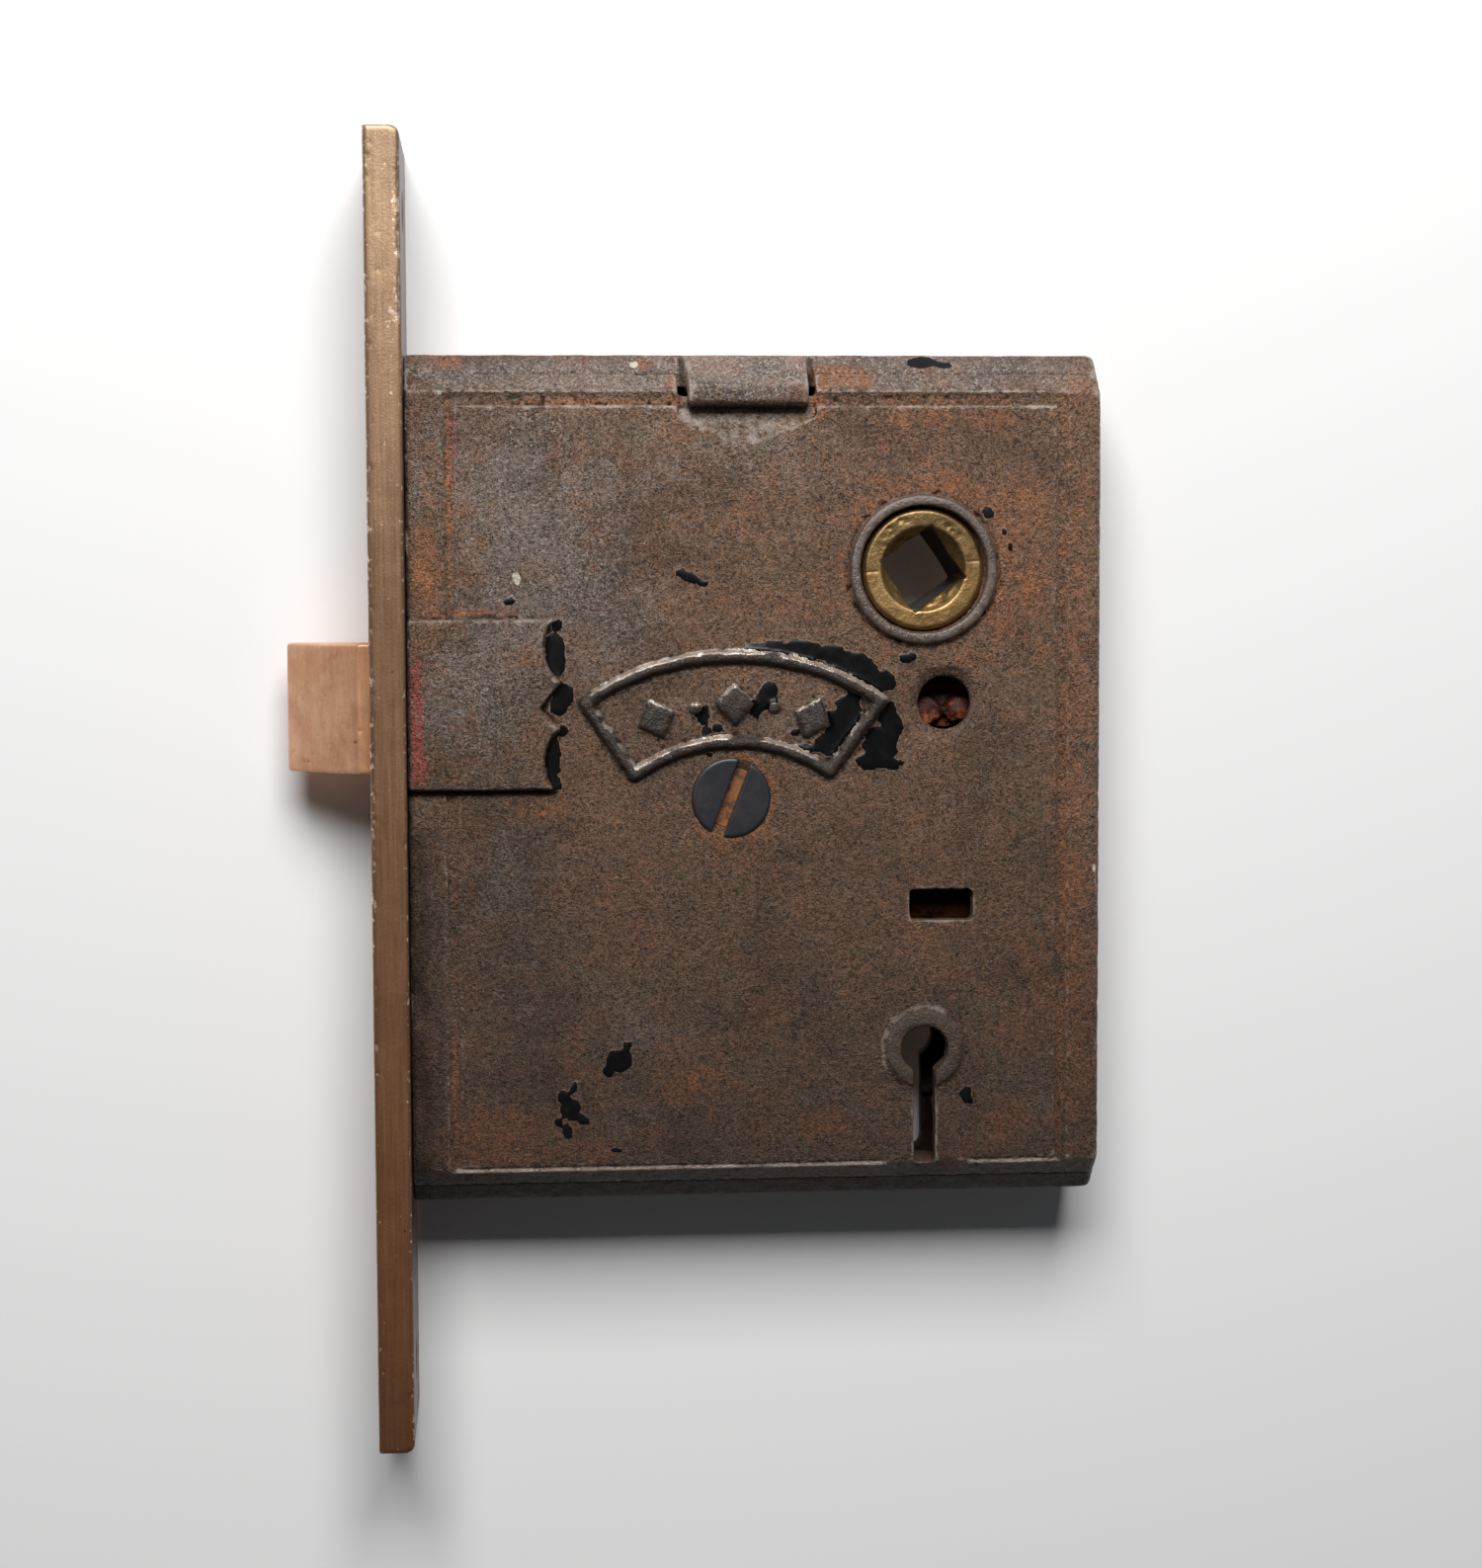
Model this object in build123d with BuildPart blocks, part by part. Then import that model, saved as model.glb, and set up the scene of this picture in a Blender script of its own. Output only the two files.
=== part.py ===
"""Rim lock for a door: an iron case and cover with a face plate, latch, dead bolt and tumbler.

Frame, in millimetres: the origin is at the centre of the face plate's outer face. -X points
out of the door's edge, +X into the door and +Z up along the face plate. The cover side faces
-Y and the case's floor lies at +Y. Each solid piece is written to its own STEP file.
"""
from build123d import *
import math
import os

os.makedirs("parts", exist_ok=True)

# ---------------------------------------------------------------- shared fits
contact_gap = 0.02               # between pieces that rest on or are fixed in each other
slide_gap = 0.05                 # between pieces that slide or turn on each other
opening_gap = 0.1                # round a bolt in its opening
clear_y = 10.0                   # cuts across the lock run out to here, past every face
rivet_r = 1.5
rivet_hole_r = rivet_r + contact_gap
post_hole_r = 1.4                # holes in the case floor for the riveted posts
post_rivet_r = post_hole_r - contact_gap

# ---------------------------------------------------------------- face plate sizes
plate_h = 172.0
plate_w = 22.2
plate_t = 4.76
plate_screw_spacing = 152.4      # wood screws that hold the lock in the door
plate_screw_r = 2.65
plate_screw_sink_r = 5.2
fix_zs = (44.0, -42.0)           # machine screws that hold plate and case together
fix_screw_r = 1.5
fix_hole_r = 1.65
fix_sink_r = 3.3

# ---------------------------------------------------------------- case and cover sizes
# A flat box with bevelled long edges.
case_x0 = plate_t
case_x1 = 96.0
half_t = 7.94
part_y = -5.24                   # where cover and case meet
top_z = 57.6
bottom_z = -54.2
bevel = 5.1
part_top_z = top_z - bevel + half_t + part_y
part_bottom_z = bottom_z + bevel - half_t - part_y
cavity_x0, cavity_x1 = 8.0, 93.4
cavity_z0, cavity_z1 = -49.8, 53.2
cavity_y = 5.24                  # inner face of the case floor
cavity_corner_r = 2.0
end_round = 1.0

# dowels between case rim and cover
dowel_spots = ((6.4, 36.0), (6.4, -38.0))
dowel_r = 0.9
dowel_hole_r = 0.93
dowel_case_depth = 2.5
dowel_cover_depth = 1.4

# hook on the case that laps over the cover, and its notch in the cover
hook_x0, hook_x1 = 41.4, 57.3
notch_x0, notch_x1 = 40.2, 58.3
notch_z = 52.05

# centre screw
screw_x, screw_z = 46.9, -0.4
screw_head_r = 5.3
screw_r = 2.1

# ---------------------------------------------------------------- hub and keyhole sizes
hub_x, hub_z = 72.3, 29.4
hub_r = 8.0
hub_bore_r = 8.06
hub_mouth_r = 8.35
hub_mouth_y = 7.3                # the bore widens beyond this, on both sides

key_x, key_z = 72.5, -34.1
key_r = 3.05
key_slot_w = 2.74
key_slot_z = -49.3
ward_r_out, ward_r_in, ward_h = 8.4, 7.2, 1.3

# raised collars on both faces: centre, radius, distance of the face from y = 0,
# rounding on the cover
collar_root = 0.5                # how deep each collar starts in its wall
collars = (
    ((hub_x, hub_z), 9.85, 8.95, 0.45),
    ((key_x, key_z), 5.2, 8.5, 0.3),
)

# ---------------------------------------------------------------- latch sizes
latch_z0, latch_z1 = 2.9, 20.0
latch_y = 5.1
latch_in = 12.5                  # inner end of the head
tail_z0, tail_z1 = 8.4, 14.4
tail_y = 1.5
tail_mid_z = (tail_z0 + tail_z1) / 2
tail_slot_x = 2.0                # where the head's slot for the tail starts
latch_rivet_spots = ((5.0, tail_mid_z), (9.6, tail_mid_z))
web_x0, web_x1 = 36.0, 39.0      # web in the case that guides the tail
horn_reach = 7.0
yoke_x = hub_x + horn_reach + contact_gap

# ---------------------------------------------------------------- dead bolt sizes
bolt_z0, bolt_z1 = -31.0, -12.0
bolt_y = 5.1
bolt_throw = 12.0
bolt_tail_z0, bolt_tail_z1 = -23.0, -12.0
bolt_tail_y0, bolt_tail_y1 = 0.2, 3.4
bolt_tail_mid_z = (bolt_tail_z0 + bolt_tail_z1) / 2
bolt_slot_x = 10.0               # where the head's slot for the tail starts
bolt_rivet_spots = ((14.0, bolt_tail_mid_z), (19.5, bolt_tail_mid_z))
guide_spot = (36.0, bolt_tail_mid_z)
guide_r = 2.5

# ---------------------------------------------------------------- tumbler sizes
tumbler_spot = (58.0, -6.5)      # its pivot
tumbler_y0, tumbler_y1 = -3.2, -0.4
tumbler_post_r = 2.0
stud_r = 2.0
stud_x = 68.0
stud_z = bolt_tail_z1 + stud_r + contact_gap
stop_spot = (82.0, 3.6)          # post the tumbler's spring bears on


# ---------------------------------------------------------------- helpers
def at_y(y):
    """Plane across the lock at this y; it faces the cover side, so extrusions run to -Y."""
    return Plane.XZ.offset(-y)


def box_sketch(x0, x1, y0, y1, mode=Mode.ADD):
    """Rectangle between these sketch coordinates."""
    with Locations(((x0 + x1) / 2, (y0 + y1) / 2)):
        Rectangle(x1 - x0, y1 - y0, mode=mode)


def discs(radius, *centres, mode=Mode.ADD):
    """Equal circles at these sketch points."""
    with Locations(*centres):
        Circle(radius, mode=mode)


def bolt_openings():
    """Openings for latch and dead bolt, sketched across X."""
    for half_w, z0, z1 in ((latch_y, latch_z0, latch_z1), (bolt_y, bolt_z0, bolt_z1)):
        gap = opening_gap
        box_sketch(-half_w - gap, half_w + gap, z0 - gap, z1 + gap)


def keyhole():
    """Round hole with a slot running down from it."""
    discs(key_r, (key_x, key_z))
    box_sketch(key_x - key_slot_w / 2, key_x + key_slot_w / 2, key_slot_z, key_z)


def ward_ring():
    """Ring round the keyhole."""
    discs(ward_r_out, (key_x, key_z))
    discs(ward_r_in, (key_x, key_z), mode=Mode.SUBTRACT)


def far_end_edges(builder):
    """Edges lying in the end face at case_x1."""
    return builder.edges().filter_by(
        lambda e: abs(e.bounding_box().min.X - case_x1) < 1e-4
        and e.bounding_box().size.X < 1e-4
    )


def faces_at_y(builder, y):
    """Faces square to Y at this y."""
    return builder.faces().filter_by(Axis.Y).filter_by(lambda f: abs(f.center().Y - y) < 0.01)


def pins(radius, centres, y0, y1):
    """Plain pins from y0 to y1."""
    with BuildPart() as pin_set:
        with BuildSketch(at_y(y1)):
            discs(radius, *centres)
        extrude(amount=y1 - y0)
    return pin_set


def riveted_post(centre, radius, end_y, head_r=None, head_t=None):
    """Post riveted in the case floor, reaching to end_y, with a wider head if given."""
    with BuildPart() as post:
        with BuildSketch(at_y(half_t)):
            discs(post_rivet_r, centre)
        extrude(amount=half_t - cavity_y)
        with BuildSketch(at_y(cavity_y)):
            discs(radius, centre)
        extrude(amount=cavity_y - end_y)
        if head_r:
            with BuildSketch(at_y(end_y)):
                discs(head_r, centre)
            extrude(amount=head_t)
    return post


# ---------------------------------------------------------------- face plate
with BuildPart() as face_plate:
    with BuildSketch(Plane.YZ):
        Rectangle(plate_w, plate_h)
    extrude(amount=plate_t)
    chamfer(face_plate.edges().filter_by(Axis.Z).sort_by(Axis.X)[:2], length=0.35)
    fillet(face_plate.edges().filter_by(Axis.Y).sort_by(Axis.X)[-2:], radius=1.2)
    with BuildSketch(Plane.YZ):
        bolt_openings()
    extrude(amount=plate_t, mode=Mode.SUBTRACT)
    # countersunk holes: wood screws into the door, machine screws into the case
    plate_holes = [
        (side * plate_screw_spacing / 2, plate_screw_r, plate_screw_sink_r) for side in (1, -1)
    ]
    plate_holes += [(z, fix_hole_r, fix_sink_r) for z in fix_zs]
    for z, hole_r, sink_r in plate_holes:
        with BuildSketch(Plane.XY.offset(z)):
            Polygon(
                (-1, 0),
                (-1, sink_r),
                (0, sink_r),
                (sink_r - hole_r, hole_r),
                (plate_t + 1, hole_r),
                (plate_t + 1, 0),
                align=None,
            )
        revolve(axis=Axis((0, 0, z), (1, 0, 0)), mode=Mode.SUBTRACT)

# ---------------------------------------------------------------- face-plate screws
# half profile of a screw: x, radius
fix_profile = (
    (0.05, 0),
    (0.05, 3.2),
    (1.65, 1.6),
    (1.67, fix_screw_r),
    (case_x0 + 6.0, fix_screw_r),
    (case_x0 + 6.4, 1.1),
    (case_x0 + 6.4, 0),
)
fix_slot_w, fix_slot_depth, fix_slot_lean = 0.9, 0.7, 70

with BuildPart() as face_plate_screws:
    for z in fix_zs:
        with BuildSketch(Plane.XY.offset(z)):
            with BuildLine():
                Polyline(*fix_profile, close=True)
            make_face()
        revolve(axis=Axis((0, 0, z), (1, 0, 0)))
    with BuildSketch(Plane.YZ.offset(-0.5)):
        for z in fix_zs:
            with Locations(Location((0, z), fix_slot_lean)):
                Rectangle(8.0, fix_slot_w)
    extrude(amount=fix_slot_depth + 0.5, mode=Mode.SUBTRACT)

# ---------------------------------------------------------------- case
# section across X: y, z
case_section = (
    (part_y, part_top_z),
    (-half_t + bevel, top_z),
    (half_t - bevel, top_z),
    (half_t, top_z - bevel),
    (half_t, bottom_z + bevel),
    (half_t - bevel, bottom_z),
    (-half_t + bevel, bottom_z),
    (part_y, part_bottom_z),
)
# section of the hook: y, z
hook_section = (
    (-2.0, 57.55), (-3.4, 57.5), (-9.1, 53.3), (-9.1, 50.9), (-8.6, 50.4), (-6.98, 50.4),
    (-6.98, 52.1), (part_y, 52.1), (-4.3, 52.4), (-2.6, 54.0), (-2.0, 55.0),
)
corner_fill = 2.5                # leg of the fill along the floor's long corners
corner_root = 0.5                # how far the fill runs into the walls
upper_fill_x1 = 60.0
centre_post_r = 4.5
web_z0, web_z1, web_y = 4.9, 18.0, -4.8
ledge_w, ledge_h = 5.0, 6.0
ledge_spots = ((30.0, bolt_tail_mid_z), (62.0, bolt_tail_mid_z + 2.0))
boss_y, boss_w, boss_h, boss_len = 0.6, 9.4, 8.0, 4.0
screw_hole_depth = 11.5

with BuildPart() as case:
    with BuildSketch(Plane.YZ.offset(case_x0)):
        Polygon(*case_section, align=None)
    extrude(amount=case_x1 - case_x0)
    fillet(
        far_end_edges(case).filter_by(lambda e: e.bounding_box().max.Y > part_y + 0.01),
        radius=end_round,
    )
    # cavity
    with BuildSketch(at_y(cavity_y)):
        with Locations(((cavity_x0 + cavity_x1) / 2, (cavity_z0 + cavity_z1) / 2)):
            RectangleRounded(cavity_x1 - cavity_x0, cavity_z1 - cavity_z0, cavity_corner_r)
    extrude(amount=cavity_y - part_y, mode=Mode.SUBTRACT)
    # the floor's long corners are thickened so the bevels keep their wall
    for wall_z, side, fill_x1 in ((cavity_z1, 1, upper_fill_x1), (cavity_z0, -1, cavity_x1)):
        with BuildSketch(Plane.YZ.offset(cavity_x0)):
            Polygon(
                (cavity_y + corner_root, wall_z - side * corner_fill),
                (cavity_y + corner_root, wall_z + side * corner_root),
                (cavity_y - corner_fill, wall_z + side * corner_root),
                (cavity_y - corner_fill, wall_z),
                (cavity_y, wall_z - side * corner_fill),
                align=None,
            )
        extrude(amount=fill_x1 - cavity_x0)
    # post under the centre screw
    with BuildSketch(at_y(cavity_y)):
        discs(centre_post_r, (screw_x, screw_z))
    extrude(amount=cavity_y - part_y)
    # web the latch tail slides in and its spring bears on
    with BuildSketch(at_y(cavity_y)):
        box_sketch(web_x0, web_x1, web_z0, web_z1)
    extrude(amount=cavity_y - web_y)
    with BuildSketch(at_y(tail_y + slide_gap)):
        box_sketch(web_x0 - 0.5, web_x1 + 0.5, tail_z0 - slide_gap, tail_z1 + slide_gap)
    extrude(amount=tail_y + slide_gap + 6.0, mode=Mode.SUBTRACT)
    # ledges the dead-bolt tail slides on, either side of the key's path
    with BuildSketch(at_y(cavity_y)):
        with Locations(*ledge_spots):
            Rectangle(ledge_w, ledge_h)
    extrude(amount=cavity_y - bolt_tail_y1 - slide_gap)
    with BuildSketch(at_y(cavity_y)):
        ward_ring()
    extrude(amount=ward_h)
    # collars on the outside of the floor
    for centre, collar_r, collar_y, _ in collars:
        with BuildSketch(at_y(collar_y)):
            discs(collar_r, centre)
        extrude(amount=collar_y - half_t + collar_root)
    # hub bore and its wider mouth
    for bore_r, bore_y in ((hub_bore_r, cavity_y - 0.5), (hub_mouth_r, hub_mouth_y)):
        with BuildSketch(at_y(clear_y)):
            discs(bore_r, (hub_x, hub_z))
        extrude(amount=clear_y - bore_y, mode=Mode.SUBTRACT)
    with BuildSketch(at_y(clear_y)):
        keyhole()
    extrude(amount=clear_y - 3.0, mode=Mode.SUBTRACT)
    # openings in the wall next to the face plate
    with BuildSketch(Plane.YZ.offset(case_x0)):
        bolt_openings()
    extrude(amount=cavity_x0 - case_x0 + 0.1, mode=Mode.SUBTRACT)
    # bosses inside that wall for the face plate's machine screws
    with BuildSketch(Plane.YZ.offset(cavity_x0 - 0.5)):
        with Locations(*[(boss_y, z) for z in fix_zs]):
            Rectangle(boss_w, boss_h)
    extrude(amount=boss_len)
    # hook over the cover
    with BuildSketch(Plane.YZ.offset(hook_x0)):
        Polygon(*hook_section, align=None)
    extrude(amount=hook_x1 - hook_x0)
    # centre screw hole
    with BuildSketch(at_y(part_y + screw_hole_depth)):
        discs(screw_r + slide_gap, (screw_x, screw_z))
    extrude(amount=screw_hole_depth + 1.5, mode=Mode.SUBTRACT)
    # rivet holes of the three posts
    with BuildSketch(at_y(half_t)):
        discs(post_hole_r, tumbler_spot, guide_spot, stop_spot)
    extrude(amount=4.0, mode=Mode.SUBTRACT)
    # face-plate screw holes
    with BuildSketch(Plane.YZ.offset(case_x0)):
        discs(fix_screw_r + slide_gap, *[(0, z) for z in fix_zs])
    extrude(amount=8.0, mode=Mode.SUBTRACT)
    # dowel holes in the rim
    with BuildSketch(at_y(part_y + dowel_case_depth + 0.1)):
        discs(dowel_hole_r, *dowel_spots)
    extrude(amount=3.0, mode=Mode.SUBTRACT)

# ---------------------------------------------------------------- scoop under the hook
# Cutting tool for the cover: scoop_area is the outline cut down to the scoop's section.
scoop_bottom_z = 45.3
scoop_side_z = 49.4
scoop_tip_x = 48.8
scoop_floor_y = -6.96
scoop_end_z = 60.0
with BuildPart() as scoop:
    with BuildSketch(Plane.YZ.offset(notch_x0)):
        Polygon(
            (-clear_y, scoop_bottom_z),
            (-half_t, scoop_bottom_z),
            (scoop_floor_y, 49.9),
            (scoop_floor_y, notch_z),
            (scoop_floor_y, scoop_end_z),
            (-clear_y, scoop_end_z),
            align=None,
        )
    extrude(amount=notch_x1 - notch_x0)
with BuildPart() as scoop_area:
    with BuildSketch(at_y(-5.0)):
        Polygon(
            (notch_x0, scoop_side_z),
            (scoop_tip_x, scoop_bottom_z),
            (notch_x1, scoop_side_z),
            (notch_x1, scoop_end_z),
            (notch_x0, scoop_end_z),
            align=None,
        )
    extrude(amount=clear_y - 5.0)
    add(scoop.part, mode=Mode.INTERSECT)

# ---------------------------------------------------------------- cover
# groove framing the field, left open below the key slot: x, z
groove_depth = 0.55
groove_outline = (
    (9.75, 52.5), (91.5, 52.5), (91.5, -49.75), (78.4, -49.75), (78.4, -48.9), (90.0, -48.9),
    (90.0, 50.7), (11.2, 50.7), (11.2, -48.9), (67.4, -48.9), (67.4, -49.75), (9.75, -49.75),
)
# raised pad over the latch
pad_y = -9.25
pad_z0, pad_z1 = 0.85, 23.2
pad_edge = 0.4
# panel frame
panel_rim = 1.8
panel_proud = 0.85
panel_edge = 0.5
# row of lozenges and dots on an arc inside the panel
row_x, row_z, row_r = 47.4, -17.4, 29.2
row_count = 5
row_pitch = 10.25                # degrees
lozenge_half_w, lozenge_half_h = 2.7, 2.95
dot_r = 0.85
bead_proud = 0.6
bead_edge = 0.3
# small round hole with a conical sink
eye_x, eye_z, eye_r, eye_sink_r = 75.3, 11.8, 3.5, 5.1
eye_sink_angle = 100
# small rectangular window
window_x0, window_x1, window_z0, window_z1 = 70.6, 78.9, -16.9, -12.9
# half profile of the centre screw's seat: radius, y
seat_profile = (
    (0, part_y + 0.2),
    (2.3, part_y + 0.2),
    (2.3, part_y),
    (screw_head_r, -half_t),
    (screw_head_r, -clear_y),
    (0, -clear_y),
)


def panel_outline():
    """Closed line along the middle of the panel frame's rim."""
    left, lower_left = (27.8, 12.2), (34.2, 2.6)
    lower_right, right = (59.9, 2.9), (66.7, 12.15)
    Line(left, lower_left)
    ThreePointArc(lower_left, (47.7, 6.9), lower_right)
    Line(lower_right, right)
    ThreePointArc(right, (48.3, 18.1), left)


with BuildPart() as cover:
    with BuildSketch(Plane.YZ.offset(case_x0)):
        Polygon(
            (part_y, part_top_z),
            (-half_t, top_z - bevel),
            (-half_t, bottom_z + bevel),
            (part_y, part_bottom_z),
            align=None,
        )
    extrude(amount=case_x1 - case_x0)
    fillet(
        far_end_edges(cover).filter_by(lambda e: e.bounding_box().min.Y < part_y - 0.01),
        radius=end_round,
    )
    with BuildSketch(at_y(-half_t + groove_depth)):
        with BuildLine():
            Polyline(*groove_outline, close=True)
        make_face()
    extrude(amount=2.0, mode=Mode.SUBTRACT)
    # raised pad over the latch with its ornamental end
    with BuildSketch(at_y(-half_t)):
        with BuildLine():
            Line((case_x0, pad_z1), (24.1, pad_z1))
            ThreePointArc((24.1, pad_z1), (22.6, 18.6), (24.8, 15.0))
            Line((24.8, 15.0), (21.9, 11.4))
            Line((21.9, 11.4), (24.6, 8.9))
            ThreePointArc((24.6, 8.9), (22.5, 4.8), (23.8, pad_z0))
            Line((23.8, pad_z0), (case_x0, pad_z0))
            Line((case_x0, pad_z0), (case_x0, pad_z1))
        make_face()
    extrude(amount=-half_t - pad_y)
    pad_face = cover.faces().filter_by(Axis.Y).sort_by(Axis.Y)[0]
    chamfer(
        pad_face.edges().filter_by(lambda e: e.bounding_box().max.X > case_x0 + 0.1),
        length=pad_edge,
    )
    # panel frame
    with BuildSketch(at_y(-half_t)):
        with BuildLine():
            panel_outline()
        make_face()
        offset(amount=panel_rim / 2)
        with BuildLine():
            panel_outline()
        panel_inside = make_face(mode=Mode.PRIVATE)
        offset(panel_inside, amount=-panel_rim / 2, mode=Mode.SUBTRACT)
    extrude(amount=panel_proud)
    chamfer(faces_at_y(cover, -half_t - panel_proud).edges(), length=panel_edge)
    # row of raised lozenges in the panel, a dot between each two
    with BuildSketch(at_y(-half_t)):
        for i in range(row_count):
            lean = row_pitch * ((row_count - 1) / 2 - i)
            angle = math.radians(90 + lean)
            bead_x = row_x + row_r * math.cos(angle)
            bead_z = row_z + row_r * math.sin(angle)
            with Locations(Location((bead_x, bead_z), lean)):
                if i % 2 == 0:
                    Polygon(
                        (-lozenge_half_w, 0),
                        (0, -lozenge_half_h),
                        (lozenge_half_w, 0),
                        (0, lozenge_half_h),
                        align=None,
                    )
                else:
                    Circle(dot_r)
    extrude(amount=bead_proud)
    chamfer(faces_at_y(cover, -half_t - bead_proud).edges(), length=bead_edge)
    # collars with rounded rims
    for centre, collar_r, collar_y, rounding in collars:
        with BuildSketch(at_y(-half_t + collar_root)):
            discs(collar_r, centre)
        extrude(amount=collar_y - half_t + collar_root)
        circles = cover.edges().filter_by(GeomType.CIRCLE)
        collar_rims = circles.filter_by(lambda e: abs(e.radius - collar_r) < 0.01)
        fillet(collar_rims.sort_by(Axis.Y)[0], radius=rounding)
    # ward ring on the inside
    with BuildSketch(at_y(part_y + ward_h)):
        ward_ring()
    extrude(amount=ward_h)
    # hub bore and its wider mouth
    for bore_r, bore_y in ((hub_bore_r, part_y + 1.0), (hub_mouth_r, -hub_mouth_y)):
        with BuildSketch(at_y(bore_y)):
            discs(bore_r, (hub_x, hub_z))
        extrude(amount=bore_y + clear_y, mode=Mode.SUBTRACT)
    # round eye
    with Locations(at_y(-half_t)):
        with Locations((eye_x, eye_z)):
            CounterSinkHole(eye_r, eye_sink_r, counter_sink_angle=eye_sink_angle)
    # rectangular window
    with BuildSketch(at_y(part_y + 1.0)):
        box_sketch(window_x0, window_x1, window_z0, window_z1)
    extrude(amount=part_y + 1.0 + clear_y, mode=Mode.SUBTRACT)
    with BuildSketch(at_y(part_y + 2.0)):
        keyhole()
    extrude(amount=part_y + 2.0 + clear_y, mode=Mode.SUBTRACT)
    # centre screw's seat
    with BuildSketch(Plane.XY.offset(screw_z)):
        with BuildLine():
            Polyline(*[(screw_x + r, y) for r, y in seat_profile], close=True)
        make_face()
    revolve(axis=Axis((screw_x, 0, screw_z), (0, 1, 0)), mode=Mode.SUBTRACT)
    # notch for the hook, and the scoop under its lip
    with BuildSketch(at_y(-4.0)):
        box_sketch(notch_x0, notch_x1, notch_z, notch_z + 10.0)
    extrude(amount=8.0, mode=Mode.SUBTRACT)
    add(scoop_area.part, mode=Mode.SUBTRACT)
    # dowel holes
    with BuildSketch(at_y(part_y + 0.5)):
        discs(dowel_hole_r, *dowel_spots)
    extrude(amount=dowel_cover_depth + 0.1 + 0.5, mode=Mode.SUBTRACT)

cover_dowels = pins(
    dowel_r, dowel_spots, part_y - dowel_cover_depth, part_y + dowel_case_depth
)

# ---------------------------------------------------------------- cover screw
screw_end_y = 4.5
screw_end_chamfer = 0.4
screw_slot_w = 1.7
screw_slot_lean = 21.0
screw_slot_depth_y = -half_t + 1.1
head_edge_r = screw_head_r - slide_gap
# half profile: radius, y
screw_profile = (
    (0, screw_end_y),
    (screw_r - screw_end_chamfer, screw_end_y),
    (screw_r, screw_end_y - screw_end_chamfer),
    (screw_r, part_y + contact_gap),
    (2.25, part_y),
    (head_edge_r, -half_t + contact_gap),
    (head_edge_r, -half_t - 0.08),
    (head_edge_r - 0.3, -half_t - 0.28),
    (0, -half_t - 0.28),
)
with BuildPart() as cover_screw:
    with BuildSketch(Plane.XY.offset(screw_z)):
        with BuildLine():
            Polyline(*[(screw_x + r, y) for r, y in screw_profile], close=True)
        make_face()
    revolve(axis=Axis((screw_x, 0, screw_z), (0, 1, 0)))
    with BuildSketch(at_y(screw_slot_depth_y)):
        with Locations(Location((screw_x, screw_z), -screw_slot_lean)):
            Rectangle(screw_slot_w, 14.0)
    extrude(amount=3.0, mode=Mode.SUBTRACT)

# ---------------------------------------------------------------- latch bolt head
latch_tip_x = -11.4
latch_tip_y = 3.2                # where the curved bevel meets the blunt tip
latch_bevel_x = -1.7
latch_edge_r = 0.35
latch_lug = 1.4                  # how far the inner end stands out above and below
lug_x = cavity_x0 + 0.1

with BuildPart() as latch_head:
    with BuildSketch(Plane.XY.offset(latch_z0)):
        with BuildLine():
            Line((latch_in, -latch_y), (latch_bevel_x, -latch_y))
            ThreePointArc((latch_bevel_x, -latch_y), (-6.9, -1.35), (latch_tip_x, latch_tip_y))
            Line((latch_tip_x, latch_tip_y), (latch_tip_x, latch_y))
            Line((latch_tip_x, latch_y), (latch_in, latch_y))
            Line((latch_in, latch_y), (latch_in, -latch_y))
        make_face()
    extrude(amount=latch_z1 - latch_z0)
    tip_edges = latch_head.edges().filter_by(
        lambda e: e.bounding_box().max.X < latch_bevel_x + 0.1
    )
    fillet(tip_edges, radius=latch_edge_r)
    with BuildSketch(Plane.YZ.offset(lug_x)):
        box_sketch(-latch_y, latch_y, latch_z0 - latch_lug, latch_z1 + latch_lug)
    extrude(amount=latch_in - lug_x)
    # slot for the tail
    with BuildSketch(Plane.YZ.offset(tail_slot_x)):
        box_sketch(
            -tail_y - contact_gap,
            tail_y + contact_gap,
            tail_z0 - contact_gap,
            tail_z1 + contact_gap,
        )
    extrude(amount=20.0, mode=Mode.SUBTRACT)
    with BuildSketch(at_y(latch_y)):
        discs(rivet_hole_r, *latch_rivet_spots)
    extrude(amount=2 * latch_y, mode=Mode.SUBTRACT)

latch_rivets = pins(rivet_r, latch_rivet_spots, -latch_y + slide_gap, latch_y - slide_gap)

# ---------------------------------------------------------------- latch tail with its yoke
yoke_t = 3.0
yoke_y = 4.4
yoke_z1 = 45.6
tail_pads = (((73.5, 10.6), 2.1), ((77.7, 10.9), 1.9))   # centre, radius
tail_pad_h = 2.2
tail_pad_round = 0.9

with BuildPart() as latch_tail:
    with BuildSketch(at_y(tail_y)):
        box_sketch(tail_slot_x + slide_gap, yoke_x + yoke_t, tail_z0, tail_z1)
    extrude(amount=2 * tail_y)
    # upright yoke at the inner end, pushed by either horn of the hub
    with BuildSketch(at_y(yoke_y)):
        box_sketch(yoke_x, yoke_x + yoke_t, tail_z0, yoke_z1)
    extrude(amount=yoke_y - tail_y)
    # two pads that keep the tail off the cover
    with BuildSketch(at_y(-tail_y)):
        for centre, pad_r in tail_pads:
            discs(pad_r, centre)
    extrude(amount=tail_pad_h)
    with BuildSketch(at_y(latch_y)):
        discs(rivet_hole_r, *latch_rivet_spots)
    extrude(amount=2 * latch_y, mode=Mode.SUBTRACT)
    pad_tops = latch_tail.faces().filter_by(Axis.Y).sort_by(Axis.Y)[:2]
    fillet(pad_tops.edges(), radius=tail_pad_round)

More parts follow.
